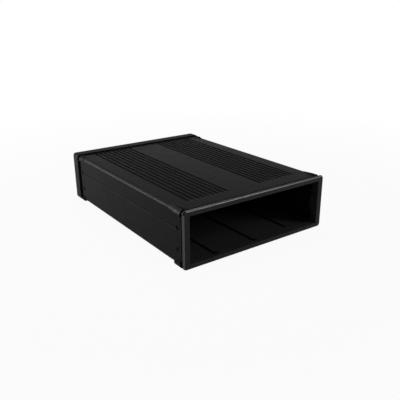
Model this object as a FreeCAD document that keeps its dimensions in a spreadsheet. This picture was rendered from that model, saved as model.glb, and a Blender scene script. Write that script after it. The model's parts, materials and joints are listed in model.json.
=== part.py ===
import FreeCAD, Part

# Empty external enclosure for one half-height 5.25 inch optical drive.
# Two end frames hold an upper and a lower shell between them, and a bridge board with its ports
# stands behind the drive bay, at the rear panel.
# Frame: millimetres, +X to the right seen from the open front, +Y to the back, +Z up.
# The origin is the middle of the case's footprint, on the surface that it stands on.

import os
import re

import Sketcher

DIMENSIONS = [
    # The bay and the case round it
    ("bay_width", 148.8, "clear width of the bay's mouth"),
    ("bay_height", 42.9, "clear height of the bay's mouth"),
    ("case_depth", 223.5, "from the front face to the rear face"),
    ("side_rim", 6.6, "frame's rim beside the mouth"),
    ("top_rim", 5.2, "frame's rim above the mouth"),
    ("bottom_rim", 4.7, "frame's rim below the mouth"),
    # End frames
    ("frame_corner", 3.2, "radius of a frame's four long corners"),
    ("face_round", 1.7, "rounding of the front face's outer edge"),
    ("rear_round", 1.2, "rounding of the rear face's outer edge"),
    ("mouth_round", 0.6, "rounding of the mouth's edge"),
    ("front_ring", 2.2, "depth of the front frame's face ring"),
    ("rear_ring", 12.0, "depth of the rear frame's face ring"),
    ("front_gap", 3.6, "width of the shadow gap behind the front ring"),
    ("rear_gap", 4.4, "width of the shadow gap ahead of the rear ring"),
    ("front_gap_sink", 1.2, "depth of the front shadow gap below the shells' skin"),
    ("rear_gap_sink", 1.8, "depth of the rear shadow gap below the shells' skin"),
    ("land", 1.4, "step of a frame that the shells butt against"),
    ("front_lug", 20.0, "length of the front frame's upper lugs"),
    ("rear_lug", 11.0, "length of the rear frame's upper lugs"),
    ("lug_corner", 5.0, "radius of an upper lug's outer corner"),
    ("front_lug_ramp", 14.0, "length of a front upper lug's ramped end"),
    ("rear_lug_ramp", 5.7, "length of a rear upper lug's ramped end"),
    ("front_foot", 11.4, "length of the front frame's lower lugs"),
    ("rear_foot", 4.8, "length of the rear frame's lower lugs"),
    ("foot_ramp", 2.0, "length of a lower lug's ramped end"),
    ("lug_root", 6.0, "reach of a lug from the corner, at its root"),
    ("lug_tip", 3.2, "reach of a lug from the corner, at its end"),
    ("collar", 2.4, "reach of a frame's collar into the shells"),
    ("collar_wall", 1.4, "thickness of the collar"),
    ("fit_gap", 0.15, "gap between a frame and the shells that it holds"),
    ("clip_level", 25.6, "height of the middle between the upper and the lower clip"),
    ("clip_spread", 9.6, "height of a clip above and below that middle"),
    ("clip_height", 2.8, "height of a snap clip's tongue"),
    ("clip_wall", 1.6, "thickness of a clip's tongue"),
    ("clip_reach", 5.0, "length of a clip's tongue past the land"),
    ("hook_length", 3.2, "length of the hook on a clip"),
    ("hook_sink", 0.8, "depth of a hook's face below the shells' skin"),
    ("window_gap", 0.3, "gap round a hook in its window"),
    ("tab_low", 13.3, "height of the side tab's lower end above the mouth's floor"),
    ("tab_height", 15.0, "height of the side tab"),
    ("tab_reach", 2.6, "length of the side tab past the land"),
    ("tab_round", 2.6, "radius of the side tab's corners"),
    # Shells
    ("side_inset", 1.4, "shells' skin inside the frames' sides"),
    ("top_inset", 1.1, "shells' skin below the frames' top"),
    ("foot_height", 1.2, "shells' underside above the table"),
    ("wall", 2.0, "wall of both shells"),
    ("shell_corner", 3.4, "outer radius of the shells' long corners"),
    ("seam_height", 34.0, "top of the lower shell's side wall"),
    ("seam_gap", 0.25, "open seam between the shells"),
    ("seam_round", 0.8, "rounding of the shells' edges at the seam"),
    ("lip_height", 1.5, "height of the lower shell's lip past the seam"),
    ("lip_wall", 0.9, "thickness of that lip"),
    ("groove_count", 9, "grooves in each of the two groups on the top"),
    ("groove_pitch", 5.2, "distance from groove to groove"),
    ("groove_start", 19.4, "first groove's distance from the middle"),
    ("groove_round", 1.7, "radius of a groove's hollow"),
    ("groove_sink", 1.1, "depth of a groove"),
    ("groove_setback", 22.5, "grooves' front ends behind the front face"),
    ("floor_groove_x", 45.0, "outer floor grooves' distance from the middle"),
    ("floor_groove_width", 5.0, "width of a groove in the bay's floor"),
    ("floor_groove_sink", 1.4, "depth of a groove in the bay's floor"),
    ("floor_groove_end", 172.0, "floor grooves' rear ends behind the front face"),
    ("right_groove_setback", 12.7, "right floor groove's front end behind the front face"),
    ("sill_groove_setback", 4.2, "left and middle grooves' front ends behind the front face"),
    ("sill_groove_sink", 1.4, "depth of these grooves in the front frame's sill"),
    ("side_groove_x", 70.5, "short floor grooves' distance from the middle"),
    ("side_groove_setback", 13.5, "short floor grooves' front ends behind the front face"),
    ("side_groove_length", 20.0, "length of a short groove beside the bay's wall"),
    # Drive's seats
    ("drive_spread", 139.7, "drive's screw holes, side to side"),
    ("drive_pitch", 79.25, "drive's screw holes, front to back"),
    ("drive_setback", 52.4, "first drive screws behind the front face"),
    ("drive_hole", 1.7, "radius of a drive screw's hole"),
    ("seat_round", 4.8, "radius of a seat under the drive"),
    ("seat_rise", 1.8, "height of a seat above the bay's floor"),
    ("recess_round", 3.4, "radius of the recess for a drive screw's head"),
    ("recess_sink", 1.4, "depth of that recess"),
    # Rear panel
    ("panel", 1.5, "thickness of the rear panel"),
    ("panel_sink", 2.2, "rear panel's face inside the rear frame's face"),
    ("panel_gap", 0.2, "gap round the rear panel"),
    ("boss", 9.0, "side of a screw boss in the rear frame's corners"),
    ("boss_length", 8.0, "length of a screw boss"),
    ("boss_root", 0.2, "reach of a screw boss into the frame's walls"),
    ("screw_round", 1.5, "radius of the rear panel's screws"),
    ("screw_length", 8.0, "length of a rear panel screw under its head"),
    ("screw_head", 2.8, "radius of such a screw's head"),
    ("screw_head_height", 1.8, "height of such a screw's head"),
    ("screw_play", 0.1, "play of any screw in its hole's thread"),
    ("slot_count", 17, "vent slots in the rear panel"),
    ("slot_pitch", 6.4, "distance from vent slot to vent slot"),
    ("slot_width", 2.4, "width of a vent slot"),
    ("slot_height", 10.0, "height of a vent slot"),
    ("slot_top", 5.0, "vent slots' top below the panel's top edge"),
    ("port_gap", 0.25, "gap round a port in the rear panel"),
    ("port_proud", 0.3, "ports' mouths outside the rear panel"),
    # Board and what carries it
    ("board_width", 112.0, "width of the bridge board"),
    ("board_depth", 38.0, "depth of the bridge board"),
    ("board", 1.6, "thickness of the bridge board"),
    ("board_gap", 0.8, "gap from the board to the rear panel"),
    ("pillar_height", 5.0, "board's underside above the bay's floor"),
    ("pillar_round", 3.0, "corner radius of a hexagonal pillar"),
    ("pillar_foot", 1.9, "radius of the pillar's foot in the floor"),
    ("pillar_inset", 4.5, "pillars' distance inside the board's sides and front edge"),
    ("pillar_margin", 4.5, "rear pillars' distance inside the floor's rear edge"),
    ("board_hole", 1.6, "radius of a screw hole in the board"),
    ("board_screw", 1.25, "radius of a board screw"),
    ("board_screw_length", 5.0, "length of a board screw under its head"),
    ("board_screw_head", 2.4, "radius of a board screw's head"),
    ("board_screw_head_height", 1.5, "height of a board screw's head"),
    ("cross_width", 0.7, "width of a screw's cross recess"),
    ("cross_span", 2.6, "span of a screw's cross recess"),
    ("cross_sink", 0.9, "depth of a screw's cross recess"),
    # Drive receptacle
    ("receptacle_gap", 1.1, "gap from the drive receptacle to the screw beside it"),
    ("receptacle_width", 44.0, "width of the drive receptacle"),
    ("receptacle_height", 6.8, "height of the drive receptacle"),
    ("receptacle_depth", 9.0, "depth of the drive receptacle"),
    ("receptacle_overhang", 3.0, "receptacle's mouth ahead of the board"),
    ("key_height", 2.4, "height of a slot in the receptacle"),
    ("key_depth", 6.0, "depth of a slot in the receptacle"),
    ("blade_sink", 1.0, "contacts' ends inside a slot's mouth"),
    ("data_width", 10.6, "width of the data slot"),
    ("power_width", 20.8, "width of the power slot"),
    ("key_wall", 4.0, "wall between the two slots"),
    ("contact_pitch", 1.27, "distance from contact to contact"),
    ("contact_width", 0.6, "width of a contact"),
    ("contact_wall", 0.3, "thickness of a contact"),
    ("data_contacts", 7, "contacts in the data slot"),
    ("power_contacts", 15, "contacts in the power slot"),
    ("tail_length", 1.6, "length of a contact's tail on the board"),
    # USB port
    ("usb_inset", 47.0, "middle of the USB port from the board's right edge"),
    ("usb_width", 12.0, "width of the USB shell"),
    ("usb_height", 10.8, "height of the USB shell"),
    ("usb_depth", 16.5, "depth of the USB shell"),
    ("usb_wall", 0.5, "wall of the USB shell"),
    ("usb_chamfer", 1.9, "cut of the USB shell's upper corners"),
    ("usb_back", 5.0, "depth of the insulator's back block"),
    ("usb_back_sink", 0.3, "back block inside the USB shell's inner end"),
    ("usb_play", 0.05, "gap between the insulator and the USB shell"),
    ("tongue_width", 5.6, "width of the USB tongue"),
    ("tongue_height", 3.2, "height of the USB tongue"),
    ("tongue_sink", 1.2, "tongue's end inside the USB shell's mouth"),
    ("usb_pin_spread", 1.25, "USB contacts' distance from the tongue's middle"),
    ("usb_pin_width", 1.0, "width of a USB contact"),
    ("usb_pin_length", 7.5, "length of a USB contact"),
    # Power inlet
    ("jack_inset", 30.0, "middle of the power inlet from the board's right edge"),
    ("jack_width", 9.4, "width of the inlet's body"),
    ("jack_height", 11.0, "height of the inlet's body"),
    ("jack_depth", 14.4, "depth of the inlet's body"),
    ("jack_bore", 3.15, "radius of the inlet's bore"),
    ("jack_bore_depth", 10.0, "depth of the inlet's bore"),
    ("jack_pin", 1.05, "radius of the centre pin"),
    ("jack_pin_sink", 0.8, "pin's end inside the bore's mouth"),
    ("leaf_width", 2.0, "width of the side contact"),
    ("leaf_wall", 0.4, "thickness of the side contact"),
    ("leaf_length", 8.0, "length of the side contact"),
    # Power switch
    ("switch_inset", 13.0, "middle of the power switch from the board's right edge"),
    ("switch_width", 12.0, "width of the switch's housing"),
    ("switch_height", 17.6, "height of the switch's housing"),
    ("switch_depth", 13.0, "depth of the switch's housing"),
    ("switch_wall", 1.5, "housing's wall beside the rocker"),
    ("switch_well", 7.6, "depth of the rocker's well"),
    ("rocker_round", 7.3, "swing radius of the rocker's ends"),
    ("rocker_gap", 0.3, "gap round the rocker"),
    ("pivot_sink", 3.8, "rocker's pivot inside the housing's face"),
    ("pivot_round", 1.2, "radius of the rocker's pivot studs"),
    ("pivot_play", 0.05, "radial play of the studs in their holes"),
    ("stud_sink", 0.2, "studs' ends inside the housing's sides"),
    ("rocker_skirt", 1.9, "rocker's body inside its pivot"),
    ("scoop_round", 25.0, "radius of the rocker's hollow face"),
    ("half_travel", 8.0, "rocker's tilt each side of its middle, in degrees"),
    ("leg_width", 1.2, "width of a switch leg"),
    ("leg_wall", 0.5, "thickness of a switch leg"),
    ("leg_reach", 2.2, "switch leg's reach behind the housing"),
    ("leg_height", 3.0, "height where a switch leg leaves the housing"),
    ("leg_spread", 3.6, "distance from switch leg to switch leg"),
    # Status light
    ("led_inset", 61.0, "middle of the status light from the board's right edge"),
    ("led_round", 1.5, "radius of the status light's lens"),
    ("led_length", 6.0, "length of the status light's lens"),
    ("led_flange", 1.9, "radius of the light's flange"),
    ("led_flange_depth", 1.0, "thickness of the light's flange"),
    ("holder_width", 5.0, "width of the light's holder"),
    ("holder_height", 6.4, "height of the light's holder"),
    ("holder_depth", 4.0, "depth of the light's holder"),
    ("holder_corner", 0.5, "radius of the holder's corners"),
    # Board's small pieces, each placed by the distance of its middle from the board's edges
    ("chip_side_inset", 32.0, "bridge chip from the board's left edge"),
    ("chip_inset", 15.0, "bridge chip from the board's rear edge"),
    ("chip_side", 10.0, "side of the bridge chip"),
    ("chip_height", 1.4, "height of the bridge chip"),
    ("chip_leads", 16, "leads along one side of the bridge chip"),
    ("lead_pitch", 0.55, "distance from lead to lead on the bridge chip"),
    ("lead_width", 0.25, "width of a lead on the bridge chip"),
    ("lead_reach", 1.0, "reach of a lead beside a chip"),
    ("lead_wall", 0.2, "thickness of a lead"),
    ("memory_side_inset", 14.0, "memory chip from the board's left edge"),
    ("memory_inset", 12.0, "memory chip from the board's rear edge"),
    ("memory_width", 5.0, "width of the memory chip"),
    ("memory_depth", 4.0, "depth of the memory chip"),
    ("memory_height", 1.6, "height of the memory chip"),
    ("memory_leads", 4, "leads along one side of the memory chip"),
    ("memory_pitch", 1.27, "distance from lead to lead on the memory chip"),
    ("memory_lead_width", 0.45, "width of a lead on the memory chip"),
    ("crystal_side_inset", 16.0, "crystal from the board's left edge"),
    ("crystal_inset", 22.0, "crystal from the board's rear edge"),
    ("crystal_length", 10.2, "length of the crystal's can"),
    ("crystal_width", 3.8, "width of the crystal's can"),
    ("crystal_height", 3.5, "height of the crystal's can"),
    ("crystal_base", 0.4, "height of the crystal's base flange"),
    ("crystal_rim", 0.4, "reach of the crystal's base past its can"),
    ("crystal_flat", 0.1, "flat between the round corners at the can's ends"),
    ("capacitor_side_inset", 38.0, "first filter capacitor from the board's right edge"),
    ("capacitor_pitch", 9.0, "distance from capacitor to capacitor"),
    ("capacitor_count", 3, "filter capacitors"),
    ("capacitor_inset", 24.0, "capacitors from the board's rear edge"),
    ("capacitor_round", 3.15, "radius of a filter capacitor"),
    ("capacitor_height", 7.0, "height of a filter capacitor on its base"),
    ("capacitor_base", 1.2, "height of a capacitor's base"),
    ("capacitor_rim", 0.15, "reach of a capacitor's base past its can"),
    ("inductor_side_inset", 52.0, "first power inductor from the board's right edge"),
    ("inductor_pitch", 42.0, "distance from inductor to inductor"),
    ("inductor_inset", 25.0, "inductors from the board's rear edge"),
    ("inductor_side", 7.0, "side of a power inductor"),
    ("inductor_height", 4.0, "height of a power inductor"),
    ("inductor_corner", 1.0, "radius of a power inductor's corners"),
    ("regulator_side_inset", 39.0, "regulator from the board's right edge"),
    ("regulator_inset", 6.0, "regulator from the board's front edge"),
    ("regulator_width", 6.5, "width of the voltage regulator"),
    ("regulator_depth", 3.5, "depth of the voltage regulator"),
    ("regulator_height", 1.7, "height of the voltage regulator"),
    ("regulator_leads", 3, "leads along one side of the regulator"),
    ("regulator_pitch", 2.3, "distance from lead to lead on the regulator"),
    ("regulator_lead", 0.75, "width of a lead on the regulator"),
    ("speck_length", 2.0, "length of a small ceramic part"),
    ("speck_width", 1.25, "width of a small ceramic part"),
    ("speck_height", 0.8, "height of a small ceramic part"),
    ("speck_pitch", 3.2, "distance from small part to small part"),
    ("speck_count", 6, "small parts in a row"),
    ("speck_side_inset", 26.0, "first small part of each row from the board's right edge"),
    ("speck_inset", 2.4, "first row of small parts from the board's front edge"),
    ("speck_rows", 2, "rows of small parts"),
    ("speck_row", 2.6, "distance from row to row of small parts"),
    # Cutting blocks
    ("overrun", 1.0, "overrun of a cutting block past the piece that it cuts"),
]

document = FreeCAD.newDocument("optical_drive_enclosure")
sizes = document.addObject("Spreadsheet::Sheet", "Sizes")
for row, (alias, value, meaning) in enumerate(DIMENSIONS, start=1):
    sizes.set(f"A{row}", alias)
    sizes.set(f"B{row}", str(value))
    sizes.setAlias(f"B{row}", alias)
    sizes.set(f"C{row}", meaning)
document.recompute()
ALIASES = {alias for alias, value, meaning in DIMENSIONS}

# Reach within which a test on a straight edge counts two places as one, in millimetres
NEAR = 0.001

# Places worked out from the sheet's values, as expressions
FRONT = "(-case_depth / 2)"
REAR = "(case_depth / 2)"
CASE_WIDTH = "(bay_width + 2 * side_rim)"
CASE_HEIGHT = "(bottom_rim + bay_height + top_rim)"
HALF_CASE = "(bay_width / 2 + side_rim)"
BAY_SIDE = "(bay_width / 2)"
BAY_TOP = "(bottom_rim + bay_height)"
SKIN_SIDE = f"({HALF_CASE} - side_inset)"
SKIN_TOP = f"({CASE_HEIGHT} - top_inset)"
INNER_SIDE = f"({SKIN_SIDE} - wall)"
INNER_TOP = f"({SKIN_TOP} - wall)"
FLOOR = "(foot_height + wall)"
INNER_CORNER = "(shell_corner - wall)"
SHELL_FRONT = f"({FRONT} + front_ring + front_gap + land + fit_gap)"
SHELL_REAR = f"({REAR} - rear_ring - rear_gap - land - fit_gap)"
PANEL_FACE = f"({REAR} - panel_sink)"
PANEL_BACK = f"({PANEL_FACE} - panel)"
BOARD_REAR = f"({PANEL_BACK} - board_gap)"
BOARD_FRONT = f"({BOARD_REAR} - board_depth)"
BOARD_FLOOR = f"({FLOOR} + pillar_height)"
BOARD_TOP = f"({BOARD_FLOOR} + board)"
PORT_FACE = f"({PANEL_FACE} + port_proud)"
BOARD_LEFT = "(-board_width / 2)"
BOARD_RIGHT = "(board_width / 2)"
USB_X = f"({BOARD_RIGHT} - usb_inset)"
JACK_X = f"({BOARD_RIGHT} - jack_inset)"
SWITCH_X = f"({BOARD_RIGHT} - switch_inset)"
LED_X = f"({BOARD_RIGHT} - led_inset)"
RECEPTACLE_LEFT = f"({BOARD_LEFT} + pillar_inset + board_screw_head + receptacle_gap)"
RECEPTACLE_X = f"({RECEPTACLE_LEFT} + receptacle_width / 2)"


def formula(text):
    """Write the sheet's name before each of its values in an expression."""
    return re.sub(r"[a-z_]+", lambda word: f"Sizes.{word[0]}" if word[0] in ALIASES else word[0], text)


def number(text):
    """Value of an expression of the sheet's values."""
    return float(sizes.evalExpression(formula(text)))


def bind(item, name, text):
    """Tie a property of an object to an expression of the sheet's values."""
    item.setExpression(name, formula(text))


def move(item, x="0", y="0", z="0"):
    """Tie an object's place to expressions of the sheet's values."""
    for axis, text in zip("xyz", (x, y, z)):
        bind(item, f"Placement.Base.{axis}", text)
    return item


def box(name, corner, size):
    """Block by its low corner and its size along X, Y and Z."""
    item = document.addObject("Part::Box", name)
    for side, text in zip(("Length", "Width", "Height"), size):
        bind(item, side, text)
    return move(item, *corner)


def mid_box(name, middle_x, low_y, low_z, size):
    """Block that is centred along X."""
    return box(name, (f"{middle_x} - ({size[0]}) / 2", low_y, low_z), size)


def rod(name, axis, start, radius, length):
    """Cylinder along an axis, from the middle of its first end."""
    item = document.addObject("Part::Cylinder", name)
    turns = {"x": FreeCAD.Rotation(FreeCAD.Vector(0, 1, 0), 90),
             "y": FreeCAD.Rotation(FreeCAD.Vector(1, 0, 0), -90),
             "z": FreeCAD.Rotation()}
    item.Placement = FreeCAD.Placement(FreeCAD.Vector(), turns[axis])
    bind(item, "Radius", radius)
    bind(item, "Height", length)
    return move(item, *start)


def joined(name, items):
    """Union of pieces, as one solid where they meet."""
    item = document.addObject("Part::MultiFuse", name)
    item.Shapes = items
    item.Refine = True
    return item


def cut(name, base, tools):
    """Base without the tools."""
    item = document.addObject("Part::Cut", name)
    item.Base = base
    item.Tool = tools[0] if len(tools) == 1 else group(f"{name}_tools", tools)
    item.Refine = True
    return item


def shared(name, first, second):
    """Space that two pieces have in common."""
    item = document.addObject("Part::MultiCommon", name)
    item.Shapes = [first, second]
    item.Refine = True
    return item


def group(name, items):
    """Separate solids under one name."""
    item = document.addObject("Part::Compound", name)
    item.Links = items
    return item


def rounded(name, base, radius, chosen):
    """Round the edges of a piece that the given test chooses."""
    document.recompute()
    item = document.addObject("Part::Fillet", name)
    item.Base = base
    size = number(radius)
    item.Edges = [(index, size, size) for index, edge in enumerate(base.Shape.Edges, start=1) if chosen(edge)]
    return item


def runs_along_y(edge):
    """True for a straight edge along Y."""
    extent = edge.BoundBox
    return extent.YLength > 10 * NEAR and extent.XLength + extent.ZLength < NEAR


def runs_along_x(edge):
    """True for a straight edge along X."""
    extent = edge.BoundBox
    return extent.XLength > 10 * NEAR and extent.YLength + extent.ZLength < NEAR


def stands_upright(edge):
    """True for a straight edge along Z."""
    extent = edge.BoundBox
    return extent.ZLength > 10 * NEAR and extent.XLength + extent.YLength < NEAR


def in_plane_y(edge, place):
    """True for an edge that lies wholly at one Y."""
    return abs(edge.BoundBox.YMin - place) < NEAR and abs(edge.BoundBox.YMax - place) < NEAR


def bar(name, side, low, high, radius, start, length):
    """Block along Y, the same each side of the middle, with rounded long corners."""
    blank = box(f"{name}_blank", (f"-{side}", start, low), (f"2 * {side}", length, f"{high} - {low}"))
    return rounded(name, blank, radius, runs_along_y)


def rounded_wire(side, low, high, radius, place):
    """Rounded rectangle at one Y, from plain numbers."""
    vector = FreeCAD.Vector
    diagonal = radius * (1 - 0.5 ** 0.5)
    edges = []
    for x_sign, z_sign in ((1, 1), (-1, 1), (-1, -1), (1, -1)):
        x = x_sign * side
        z = high if z_sign > 0 else low
        beside = vector(x, place, z - z_sign * radius)
        above = vector(x - x_sign * radius, place, z)
        corner = vector(x - x_sign * diagonal, place, z - z_sign * diagonal)
        ends = (beside, above) if x_sign * z_sign > 0 else (above, beside)
        edges.append(Part.Arc(ends[0], corner, ends[1]).toShape())
    lines = []
    for edge, follower in zip(edges, edges[1:] + edges[:1]):
        lines.append(Part.makeLine(edge.lastVertex().Point, follower.firstVertex().Point))
    return Part.Wire([piece for pair in zip(edges, lines) for piece in pair])


def tapered_bar(name, radius, start, end):
    """Rounded block along Y that narrows from the frame's outline to the shells' skin."""
    wide = [number(text) for text in (HALF_CASE, "0", CASE_HEIGHT, radius)]
    slim = [number(text) for text in (SKIN_SIDE, "foot_height", SKIN_TOP, "shell_corner")]
    item = document.addObject("Part::Feature", name)
    sections = [rounded_wire(*wide, number(start)), rounded_wire(*slim, number(end))]
    item.Shape = Part.makeLoft(sections, True, True)
    return item


def span(facing, start, end):
    """Low end and length along Y of a stretch counted inwards from the front or the rear face."""
    low = f"({FRONT} + {start})" if facing == "front" else f"({REAR} - ({end}))"
    return low, f"({end} - ({start}))"


def both_sides(name, low_x, low_y, low_z, size):
    """The same block at the right side and, mirrored, at the left side."""
    right = box(f"{name}_right", (low_x, low_y, low_z), size)
    left = box(f"{name}_left", (f"-({low_x}) - ({size[0]})", low_y, low_z), size)
    return [right, left]


def mirrored(name, item):
    """The same piece across the case's middle plane."""
    mirror = document.addObject("Part::Mirroring", name)
    mirror.Source = item
    mirror.Normal = FreeCAD.Vector(1, 0, 0)
    return mirror


def clip_heights():
    """Low Z of the upper and the lower clip's tongue."""
    middle = "(clip_level - clip_height / 2)"
    return {"upper": f"({middle} + clip_spread)", "lower": f"({middle} - clip_spread)"}


def land_end(facing):
    """Depth of the land's inner face behind the frame's own face."""
    return f"({facing}_ring + {facing}_gap + land)"


# End frames

def frame_ring(facing, face_round):
    """Ring at the face, the sunk neck behind it and the land that meets the shells, without the mouth."""
    ring_y, ring_length = span(facing, "0", f"{facing}_ring")
    ring = bar(f"{facing}_ring_bar", HALF_CASE, "0", CASE_HEIGHT, "frame_corner", ring_y, ring_length)
    face = number(FRONT if facing == "front" else REAR)
    ring = rounded(f"{facing}_ring_face", ring, face_round, lambda edge: in_plane_y(edge, face))
    neck_y, neck_length = span(facing, f"{facing}_ring / 2", land_end(facing))
    sink = f"{facing}_gap_sink"
    neck = bar(f"{facing}_neck", f"({SKIN_SIDE} - {sink})", f"(foot_height + {sink})",
               f"({SKIN_TOP} - {sink})", f"(shell_corner - {sink})", neck_y, neck_length)
    land_y, land_length = span(facing, f"{facing}_ring + {facing}_gap", land_end(facing))
    step = bar(f"{facing}_land", SKIN_SIDE, "foot_height", SKIN_TOP, "shell_corner", land_y, land_length)
    return [ring, neck, step]


def frame_lugs(facing):
    """Upper lugs that wrap the shells' corners, and shorter lower lugs that stand on the table."""
    root = f"({facing}_ring + {facing}_gap)"
    sign, face = ("+", FRONT) if facing == "front" else ("-", REAR)
    lugs = []
    rows = (("top", f"{facing}_lug", f"{facing}_lug_ramp", "lug_corner"),
            ("bottom", f"{facing}_foot", "foot_ramp", "frame_corner"))
    for level, length, ramp, corner in rows:
        name = f"{facing}_{level}_lug"
        tip = f"({root} + {length})"
        straight_y, straight_length = span(facing, root, f"{tip} - {ramp}")
        straight = bar(f"{name}_bar", HALF_CASE, "0", CASE_HEIGHT, corner, straight_y, straight_length)
        taper = tapered_bar(f"{name}_taper", corner, f"({face} {sign} ({tip} - {ramp}))",
                            f"({face} {sign} {tip})")
        outside = joined(f"{name}_outside", [straight, taper])
        skin_y, skin_length = span(facing, land_end(facing), f"{tip} + overrun")
        skin = bar(f"{name}_skin", f"({SKIN_SIDE} + fit_gap)", "(foot_height - fit_gap)",
                   f"({SKIN_TOP} + fit_gap)", "(shell_corner + fit_gap)", skin_y, skin_length)
        zones = group(f"{name}_zones",
                      [lug_zone(facing, root, tip, side, level) for side in ("right", "left")])
        lugs.append(shared(f"{name}s", cut(f"{name}_band", outside, [skin]), zones))
    return lugs


def lug_zone(facing, root, tip, side, level):
    """Space of one corner lug, which narrows from its root to its end."""
    zone = document.addObject("Part::Wedge", f"{facing}_{side}_{level}_zone")
    begin, end = ("lug_root", "lug_tip") if facing == "front" else ("lug_tip", "lug_root")
    outer = f"({HALF_CASE} + overrun)"
    for extent, reach in (("", begin), ("2", end)):
        inner = f"({HALF_CASE} - {reach})"
        bind(zone, f"X{extent}min", inner if side == "right" else f"-{outer}")
        bind(zone, f"X{extent}max", outer if side == "right" else f"-{inner}")
        bind(zone, f"Z{extent}min", f"{CASE_HEIGHT} - {reach}" if level == "top" else "-overrun")
        bind(zone, f"Z{extent}max", f"{CASE_HEIGHT} + overrun" if level == "top" else reach)
    low, length = span(facing, root, tip)
    bind(zone, "Ymin", "0")
    bind(zone, "Ymax", length)
    return move(zone, y=low)


def frame_collar(facing):
    """Thin collar that slides into the shells, on three sides of the bay."""
    low, length = span(facing, f"{facing}_ring", f"{land_end(facing)} + collar")
    outside = bar(f"{facing}_collar_outside", f"({INNER_SIDE} - fit_gap)", f"({FLOOR} + fit_gap)",
                  f"({INNER_TOP} - fit_gap)", f"({INNER_CORNER} - fit_gap)", low, length)
    low, length = span(facing, land_end(facing), f"{land_end(facing)} + collar + overrun")
    side = f"({INNER_SIDE} - fit_gap - collar_wall)"
    hollow = box(f"{facing}_collar_hollow", (f"-{side}", low, FLOOR),
                 (f"2 * {side}", length, f"{INNER_TOP} - fit_gap - collar_wall - {FLOOR}"))
    return cut(f"{facing}_collar", outside, [hollow])


def frame_clips(facing):
    """Tongues with hooks that snap into the shells' side windows."""
    pieces = []
    tongue_y, tongue_length = span(facing, f"{facing}_ring", f"{land_end(facing)} + clip_reach")
    hook_y, hook_length = span(facing, f"{land_end(facing)} + clip_reach - hook_length",
                               f"{land_end(facing)} + clip_reach")
    inside = f"({INNER_SIDE} - fit_gap - clip_wall)"
    for level, low_z in clip_heights().items():
        pieces += both_sides(f"{facing}_{level}_tongue", inside, tongue_y, low_z,
                             ("clip_wall", tongue_length, "clip_height"))
        pieces += both_sides(f"{facing}_{level}_hook", inside, hook_y, low_z,
                             (f"{SKIN_SIDE} - hook_sink - {inside}", hook_length, "clip_height"))
    return pieces


def side_tabs():
    """Rounded tabs that guide the drive's bezel at both sides of the mouth."""
    low, length = span("front", "front_ring", f"{land_end('front')} + tab_reach")
    wall = f"({INNER_SIDE} - fit_gap - {BAY_SIDE})"
    blank = box("tab_blank", (BAY_SIDE, low, "bottom_rim + tab_low"), (wall, length, "tab_height"))
    end = number(f"{FRONT} + {land_end('front')} + tab_reach")
    tab = rounded("tab_right", blank, "tab_round", lambda edge: runs_along_x(edge) and in_plane_y(edge, end))
    return [tab, mirrored("tab_left", tab)]


def mouth(facing):
    """Space of the bay through a frame and between its clips and tabs."""
    low, length = span(facing, "-overrun", f"{land_end(facing)} + collar + clip_reach + tab_reach")
    return box(f"{facing}_mouth", (f"-{BAY_SIDE}", low, "bottom_rim"), ("bay_width", length, "bay_height"))


def below_mouth(facing):
    """Space under the bay behind a frame's land, where the shells' floor lies."""
    low, length = span(facing, land_end(facing), f"{land_end(facing)} + collar + overrun")
    return box(f"{facing}_below", (f"-{BAY_SIDE}", low, "0"), ("bay_width", length, "bottom_rim + overrun"))


def front_frame():
    """Ring round the bay's mouth, with its lugs, collar, clips and tabs."""
    pieces = frame_ring("front", "face_round") + frame_lugs("front") + [frame_collar("front")]
    blank = joined("front_frame_blank", pieces + frame_clips("front") + side_tabs())
    opened = cut("front_frame_open", blank, [mouth("front"), below_mouth("front")] + sill_grooves())
    place = number(FRONT)
    side = number(BAY_SIDE)
    return rounded("front_frame", opened, "mouth_round",
                   lambda edge: in_plane_y(edge, place) and edge.BoundBox.XMax < side + NEAR
                   and edge.BoundBox.XMin > -side - NEAR)


def sill_grooves():
    """Front ends of the left and the middle floor groove, in the frame's sill."""
    low, length = span("front", "sill_groove_setback", f"{land_end('front')} + overrun")
    size = ("floor_groove_width", length, "sill_groove_sink + overrun")
    return [mid_box(f"sill_groove_{index}", x, low, "bottom_rim - sill_groove_sink", size)
            for index, x in enumerate(("-floor_groove_x", "0"), start=1)]


def boss_middles():
    """Middles of the rear panel's screws, as X and Z."""
    side = f"({BAY_SIDE} - boss / 2)"
    levels = ("(bottom_rim + boss / 2)", f"({BAY_TOP} - boss / 2)")
    return [(x, z) for z in levels for x in (f"-{side}", side)]


def rear_frame():
    """Ring at the back, with its lugs, collar and clips, and four bosses for the panel's screws."""
    pieces = frame_ring("rear", "rear_round") + frame_lugs("rear") + [frame_collar("rear")]
    blank = joined("rear_frame_blank", pieces + frame_clips("rear"))
    opened = cut("rear_frame_open", blank, [mouth("rear"), below_mouth("rear")])
    bosses = []
    pilots = []
    for index, (x, z) in enumerate(boss_middles(), start=1):
        size = ("boss + 2 * boss_root", "boss_length", "boss + 2 * boss_root")
        bosses.append(mid_box(f"boss_{index}", x, f"{PANEL_BACK} - boss_length",
                              f"{z} - boss / 2 - boss_root", size))
        pilots.append(rod(f"pilot_{index}", "y", (x, f"{PANEL_BACK} - boss_length - overrun", z),
                          "screw_round + screw_play", "boss_length + 2 * overrun"))
    return cut("rear_frame", joined("rear_frame_bossed", [opened] + bosses), pilots)


# Shells

def clip_windows(facing):
    """Side windows of the shells for a frame's hooks."""
    low, length = span(facing, f"{land_end(facing)} + clip_reach - hook_length - window_gap",
                       f"{land_end(facing)} + clip_reach + window_gap")
    windows = []
    for level, low_z in clip_heights().items():
        windows += both_sides(f"{facing}_{level}_window", f"({INNER_SIDE} - overrun)", low,
                              f"{low_z} - window_gap",
                              ("wall + 2 * overrun", length, "clip_height + 2 * window_gap"))
    return windows


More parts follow.
